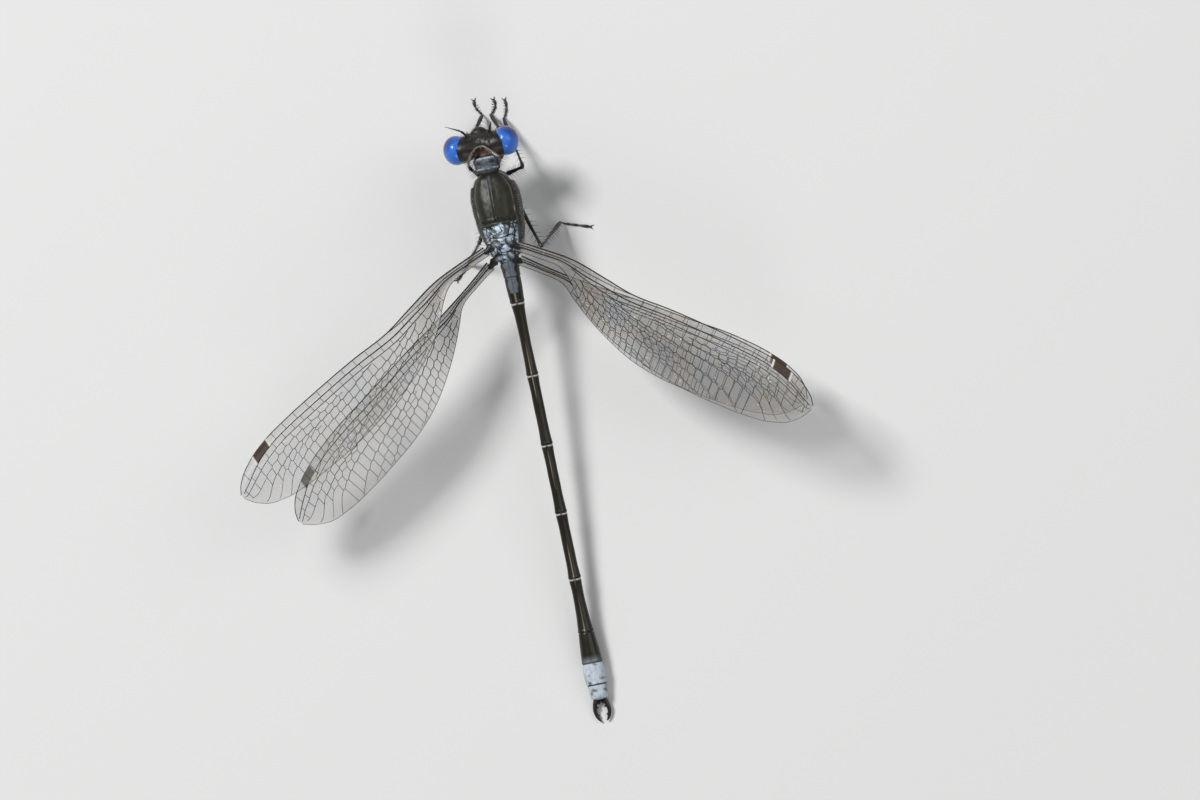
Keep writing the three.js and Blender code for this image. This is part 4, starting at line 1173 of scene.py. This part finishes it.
def vein_net(sheet, rng):
    """The long veins, as places, shares of the chord and radii, and the cross veins between them,
    as the place and share of each end. The cross veins' ends draw the weaker long veins to and fro,
    which makes many-sided cells."""
    costa = ("costa", [(0.0, 0.0), (sheet.length, 0.0)], 0.075, 0.04, 0.0)
    margin = ("margin", [(0.0, 1.0), (sheet.length, 1.0)], 0.03, 0.02, 0.0)
    k = sheet.scale
    inner = [(name, to_scale(rows, k), *rest) for name, (rows, *rest) in LONG_VEINS.items()]
    veins = [costa, *inner, margin]
    crosses = cross_veins(sheet, veins, rng)
    shifts = zigzags(sheet, veins, crosses)
    lines = []
    for (_, rows, at_root, at_tip, _), shift in zip(veins, shifts):
        low, high = rows[0][0], rows[-1][0]
        e = np.linspace(low, high, 150)
        if shift is not None:
            e = np.unique(np.concatenate([e, shift[0][(shift[0] > low) & (shift[0] < high)]]))
        e = np.interp(np.linspace(0, 1, 190), np.linspace(0, 1, len(e)), e)
        share = chord_at(rows, np.clip(e, low, high), shift)
        lines.append((e, share, np.linspace(at_root, at_tip, len(e))))
    short = []
    for i, e, end, targets in crosses:
        v = chord_at(veins[i][1], e, shifts[i])
        w = [chord_at(veins[t][1], np.array([x]), shifts[t])[0] for x, t in zip(end, targets)]
        short.append(np.stack([e, v, end, w], -1))
    return lines, np.concatenate(short)


def film_shell(sheet, half):
    """A wing's clear film: rings across it, closer together towards the tip by a sine. It is made
    more opaque near the root, where this is a painted reflection, and a little in one place further
    out."""
    e = sheet.length * np.sin(np.linspace(0, np.pi / 2, 170))
    across, along = np.meshgrid(np.linspace(0.0, 1, 44), e)
    # More opacity near the root is a painted reflection; the patch further out is a little more
    # opaque too.
    smoke = until(along, 6.5, 4) + 0.35 * hill(along, 12.5, 1.3) * hill(across, 0.75, 0.25)
    return Shell().add(sheet.skin(along, across, half), smoke=np.concatenate([smoke] * 2, 1))


def vein_shell(sheet, rng, thicker, cross_radius):
    """A wing's net of veins: a tube along each long vein and a straight one for each cross vein."""
    lines, short = vein_net(sheet, rng)
    shell = Shell()
    for e, share, radii in lines:
        shell.add(sheet.vein(e, share, radii * thicker, sides=6))
    start, end = short[:, None, :2], short[:, None, 2:]
    e, share = np.moveaxis(start + np.linspace(0, 1, 4)[:, None] * (end - start), -1, 0)
    return shell.add(sheet.vein(e, share, np.full(e.shape, cross_radius), sides=4))


def mark_shell(sheet):
    """The mark near a wing's tip: a slanting cell between the leading edge and the radius, swollen
    a little on both faces, with pale ends."""
    start, end = (place * sheet.scale for place in STIGMA)
    across, along = np.meshgrid(np.linspace(0.01, 1, 12), np.linspace(start, end, 40))
    slant = along + 0.12 * (across - 0.5)
    share = across * chord_at(to_scale(LONG_VEINS["radius"][0], sheet.scale), slant)
    from_end = np.minimum(along - start, end - along)
    pale = until(from_end, 0.14, 0.12)
    puff = 0.03 + 0.015 * step(from_end, 0.1, 0.2)
    return Shell().add(sheet.skin(slant, share, puff), pale=np.concatenate([pale] * 2, 1))


class DAMSELFLY_OT_wings(bpy.types.Operator):
    """Make the four wings: a clear film, its net of veins, and the dark mark near the tip"""

    bl_idname = "damselfly.wings"
    bl_label = "Wings"

    def execute(self, context):
        film, vein, mark = membrane_finish(), vein_finish(), stigma_finish()
        s = sizes()
        for n, (name, wing) in enumerate(WING_ROOTS.items()):
            sheet = WingSheet(wing)
            rng = np.random.default_rng(100 + n)
            piece = film_shell(sheet, s.membrane_thickness / MM / 2).piece(name + "_film", film)
            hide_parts(name)
            veins = vein_shell(sheet, rng, s.vein_radius / TABLE_VEIN, s.cross_vein_radius / MM)
            veins.piece(name + "_veins", vein)
            mark_shell(sheet).piece(name + "_mark", mark)
        return {"FINISHED"}


def hair_piece(name, roots, lean, length, radius, finish, place):
    """Hairs as thin tapering limbs. Each one's patch of the map is 0.003 across, at its root's
    place on the unwrap of the skin it grows from."""
    rings, sides = 4, 3
    hairs = cones(roots, lean, length, radius, rings=rings, sides=sides)
    piece = Shell().add(hairs).piece(name, finish)
    patch = np.random.default_rng(9).uniform(-0.0015, 0.0015, (rings * sides, 2))
    spread = (place[:, None] + patch).reshape(-1, 2)
    corners = np.zeros(len(piece.data.loops), np.int32)
    piece.data.loops.foreach_get("vertex_index", corners)
    piece.data.uv_layers.new(name="OFBake").data.foreach_set("uv", spread[corners].ravel())


def thorax_hairs(rng, count, length):
    """Hairs at random on the sides of the trunk and under it, which lean back and down."""
    y = rng.uniform(0.4, 7.1, count)
    turn = rng.uniform(1.15, 3.1, count) * rng.choice([-1, 1], count)
    middle, out = trunk_point(y, turn)
    lean = unit(unit(out) + (0, -0.35, -0.1) + rng.normal(size=(count, 3)) * 0.22)
    long = length * rng.uniform(0.6, 1.2, count)
    place = np.stack([turn / (2 * np.pi) + 0.5, (y + 0.2) / 8.3], -1)
    hair_piece("thorax_hairs", body(middle + out), lean @ TURN.T, long, 0.009, hair_finish(), place)


def head_hairs(rng, count, length):
    """Black hairs on the face and half as many pale ones on the head's hind edge: points of the
    head's grid at random, by the size of the skin round each and by how hairy it is there."""
    p = head_shape()
    y, z = p[..., 1], p[..., 2]
    along, ahead, behind = np.gradient(p, axis=0), np.roll(p, -1, 1), np.roll(p, 1, 1)
    out = unit(np.cross(ahead - behind, along))
    out = out * np.sign((out * (p - p.mean(1, keepdims=True))).sum(-1).mean())
    skin = np.linalg.norm(ahead - p, axis=-1) * np.linalg.norm(along, axis=-1)
    face = step(y, 0.05, 0.5) * step(z, -0.7, 0.6)
    fringe = 2.5 * hill(depth_in(p, HEAD_HOLLOW), 0.05, 0.06) * step(z, 0.0, 0.4)
    for name, hairy, number, back, finish in (
        ("face_hairs", face, count, -0.1, black_finish()),
        ("fringe_hairs", fringe, count // 2, -0.7, hair_finish()),
    ):
        chance = (hairy * skin).ravel()
        i, j = np.divmod(rng.choice(chance.size, number, p=chance / chance.sum()), p.shape[1])
        lean = unit(out[i, j] + (0, back, 0) + rng.normal(size=(number, 3)) * 0.3)
        place = np.stack([j / p.shape[1], i / p.shape[0]], -1)
        long = length * rng.uniform(0.5, 1.0, number)
        hair_piece(name, body(p[i, j] + HEAD), lean @ TURN.T, long, 0.007, finish, place)


class DAMSELFLY_OT_hairs(bpy.types.Operator):
    """Make the fine hairs: pale ones on the sides of the thorax and under it, darker ones on the
    face, and a pale fringe on the head's hind edge"""

    bl_idname = "damselfly.hairs"
    bl_label = "Fine hairs"

    def execute(self, context):
        rng = np.random.default_rng(7)
        s = sizes()
        thorax_hairs(rng, s.hair_count, s.hair_length / MM)
        head_hairs(rng, s.face_hair_count, s.hair_length / MM)
        return {"FINISHED"}


# The camera: its turn about the line of sight, its roll about the body, and where it is from the
# body's origin: to the picture's right, up the picture, and towards the viewer.
CAMERA_TURN = np.radians(11.7)
CAMERA_ROLL = np.radians(7)
CAMERA_FROM_ORIGIN = (6.115, -9.273, 1000)
LENS, SENSOR = 445.5, 36
FLOOR_HALF = 0.4
FLOOR_COLOUR = (0.62, 0.62, 0.61, 1)
ROOM_COLOUR, ROOM_LIGHT = (0.9, 0.93, 0.97, 1), 0.18
# Square lights that face the middle: name, place and side in metres, and power in watts.
LIGHTS = (
    ("key", (-0.3, 0.35, 0.6), 0.2, 5.8),
    ("fill", (0.45, 0.1, 0.5), 0.45, 1.2),
    ("rear", (0.05, -0.6, 0.35), 0.25, 1.0),
)


class DAMSELFLY_OT_stage(bpy.types.Operator):
    """Set the camera above the model, with a pale floor and soft lights"""

    bl_idname = "damselfly.stage"
    bl_label = "Camera, floor and lights"

    def execute(self, context):
        scene = context.scene
        link = scene.collection.objects.link

        cos, sin = np.cos(CAMERA_ROLL), np.sin(CAMERA_ROLL)
        side, ahead, up = TURN.T
        back, right = cos * up + sin * side, cos * side - sin * up
        cos, sin = np.cos(CAMERA_TURN), np.sin(CAMERA_TURN)
        axes = np.stack([cos * right - sin * ahead, cos * ahead + sin * right, back], 1)
        camera = bpy.data.objects.new("camera", bpy.data.cameras.new("camera"))
        place = Matrix.Translation((ORIGIN + axes @ CAMERA_FROM_ORIGIN) * MM)
        camera.matrix_world = place @ Matrix(axes).to_4x4()
        camera.data.lens, camera.data.sensor_width = LENS, SENSOR
        link(camera)
        scene.camera = camera

        pale = bpy.data.materials.new("floor_pale")
        pale.use_nodes = True
        shader = pale.node_tree.nodes["Principled BSDF"].inputs
        shader["Base Color"].default_value = FLOOR_COLOUR
        shader["Roughness"].default_value = 0.8
        mesh = bpy.data.meshes.new("floor")
        signs = ((-1, -1), (1, -1), (1, 1), (-1, 1))
        corners = [(FLOOR_HALF * x, FLOOR_HALF * y, 0) for x, y in signs]
        mesh.from_pydata(corners, [], [(0, 1, 2, 3)])
        mesh.materials.append(pale)
        floor = bpy.data.objects.new("floor", mesh)
        link(floor)

        for name, place, size, power in LIGHTS:
            light = bpy.data.lights.new(name, "AREA")
            light.size, light.energy = size, power
            lamp = bpy.data.objects.new(name, light)
            lamp.location = place
            lamp.rotation_euler = (-Vector(place)).to_track_quat("-Z", "Y").to_euler()
            link(lamp)
        world = bpy.data.worlds.new("studio")
        world.use_nodes = True
        room = world.node_tree.nodes["Background"].inputs
        room["Color"].default_value = ROOM_COLOUR
        room["Strength"].default_value = ROOM_LIGHT
        scene.world = world
        scene.view_settings.view_transform = "Standard"
        return {"FINISHED"}


def length(name, description, default):
    given = {"name": name, "description": description, "default": default}
    return FloatProperty(**given, min=0, unit="LENGTH", subtype="DISTANCE", precision=6)


def number(name, description, default, most):
    return IntProperty(name=name, description=description, default=default, min=10, max=most)


def colour(name, description, default):
    given = {"name": name, "description": description, "default": default}
    return FloatVectorProperty(**given, min=0, max=1, size=3, subtype="COLOR")


class DamselflySizes(bpy.types.PropertyGroup):
    femur_radius: length("Femur radius", "Half the thickness of the upper leg", 0.00014)
    tibia_radius: length("Tibia radius", "Half the thickness of the lower leg", 0.000115)
    tarsus_radius: length("Foot radius", "Half the thickness of the foot", 0.000068)
    spine_length: length("Bristle length", "Length of the bristles of the lower leg", 0.00048)
    vein_radius: length("Vein radius", "Half the thickness of a middling long vein", 0.000037)
    cross_vein_radius: length("Cross vein radius", "Half the thickness of a cross vein", 0.000023)
    membrane_thickness: length("Film thickness", "Thickness of the wing film", 0.00002)
    hair_length: length("Hair length", "Mean length of the fine hairs", 0.0003)
    hair_count: number("Hairs", "Number of fine hairs on the thorax", 1500, 5000)
    face_hair_count: number("Face hairs", "Number of fine hairs on the face", 420, 2000)


class DamselflyColours(bpy.types.PropertyGroup):
    eye_pale: colour("Eye, pale", "Lower inner part of the eye", (0.07, 0.32, 0.66))
    eye_blue: colour("Eye, blue", "Most of the eye", (0.04, 0.165, 0.62))
    eye_rim: colour("Eye, rim", "Outer rim of the eye", (0.012, 0.016, 0.14))
    capsule: colour("Head", "Main colour of the head", (0.006, 0.006, 0.006))
    bronze: colour("Bronze", "Back of the thorax", (0.008, 0.0075, 0.005))
    bronze_light: colour("Light bronze", "Sheen on the back of the thorax", (0.027, 0.026, 0.016))
    stripe: colour("Stripe", "Shoulder stripe", (0.42, 0.36, 0.24))
    # Slate is also painted along the front of the thorax's keel as a highlight.
    slate: colour("Slate", "Collar and the first rings of the tail", (0.12, 0.145, 0.175))
    bloom: colour("Bloom", "Powder between the wings", (0.54, 0.65, 0.75))
    bloom_pale: colour("Pale bloom", "Powder on the end of the tail", (0.47, 0.53, 0.59))
    tail: colour("Tail", "Main colour of the tail", (0.005, 0.004, 0.003))
    tail_sheen: colour("Tail sheen", "Lighter bronze on the tail", (0.024, 0.020, 0.012))
    pale_ring: colour("Pale ring", "Narrow rings at the joints of the tail", (0.44, 0.46, 0.46))
    membrane: colour("Wing film", "Tint of the clear film", (0.20, 0.19, 0.18))
    vein: colour("Vein", "Colour of the wing veins", (0.006, 0.005, 0.004))
    stigma: colour("Wing mark", "Middle of the mark near the wing tip", (0.022, 0.016, 0.012))


PIECES = (
    DAMSELFLY_OT_stage,
    DAMSELFLY_OT_head,
    DAMSELFLY_OT_eyes,
    DAMSELFLY_OT_antennae,
    DAMSELFLY_OT_thorax,
    DAMSELFLY_OT_abdomen,
    DAMSELFLY_OT_claspers,
    DAMSELFLY_OT_legs,
    DAMSELFLY_OT_wings,
    DAMSELFLY_OT_hairs,
)


class DAMSELFLY_PT_panel(bpy.types.Panel):
    """Sizes, colours and pieces of the damselfly"""

    bl_idname = "DAMSELFLY_PT_panel"
    bl_label = "Damselfly"
    bl_space_type = "VIEW_3D"
    bl_region_type = "UI"
    bl_category = "Damselfly"

    def draw(self, context):
        column = self.layout.column()
        for group in (context.scene.damselfly_sizes, context.scene.damselfly_colours):
            for name in group.__annotations__:
                column.prop(group, name)
        for piece in PIECES:
            column.operator(piece.bl_idname)


CLASSES = (DamselflySizes, DamselflyColours, *PIECES, DAMSELFLY_PT_panel)


def register():
    for item in CLASSES:
        bpy.utils.register_class(item)
    bpy.types.Scene.damselfly_sizes = PointerProperty(type=DamselflySizes)
    bpy.types.Scene.damselfly_colours = PointerProperty(type=DamselflyColours)


def unregister():
    del bpy.types.Scene.damselfly_sizes
    del bpy.types.Scene.damselfly_colours
    for item in reversed(CLASSES):
        bpy.utils.unregister_class(item)


def main():
    register()
    for piece in PIECES:
        group, name = piece.bl_idname.split(".")
        getattr(getattr(bpy.ops, group), name)()


if __name__ == "__main__":
    main()
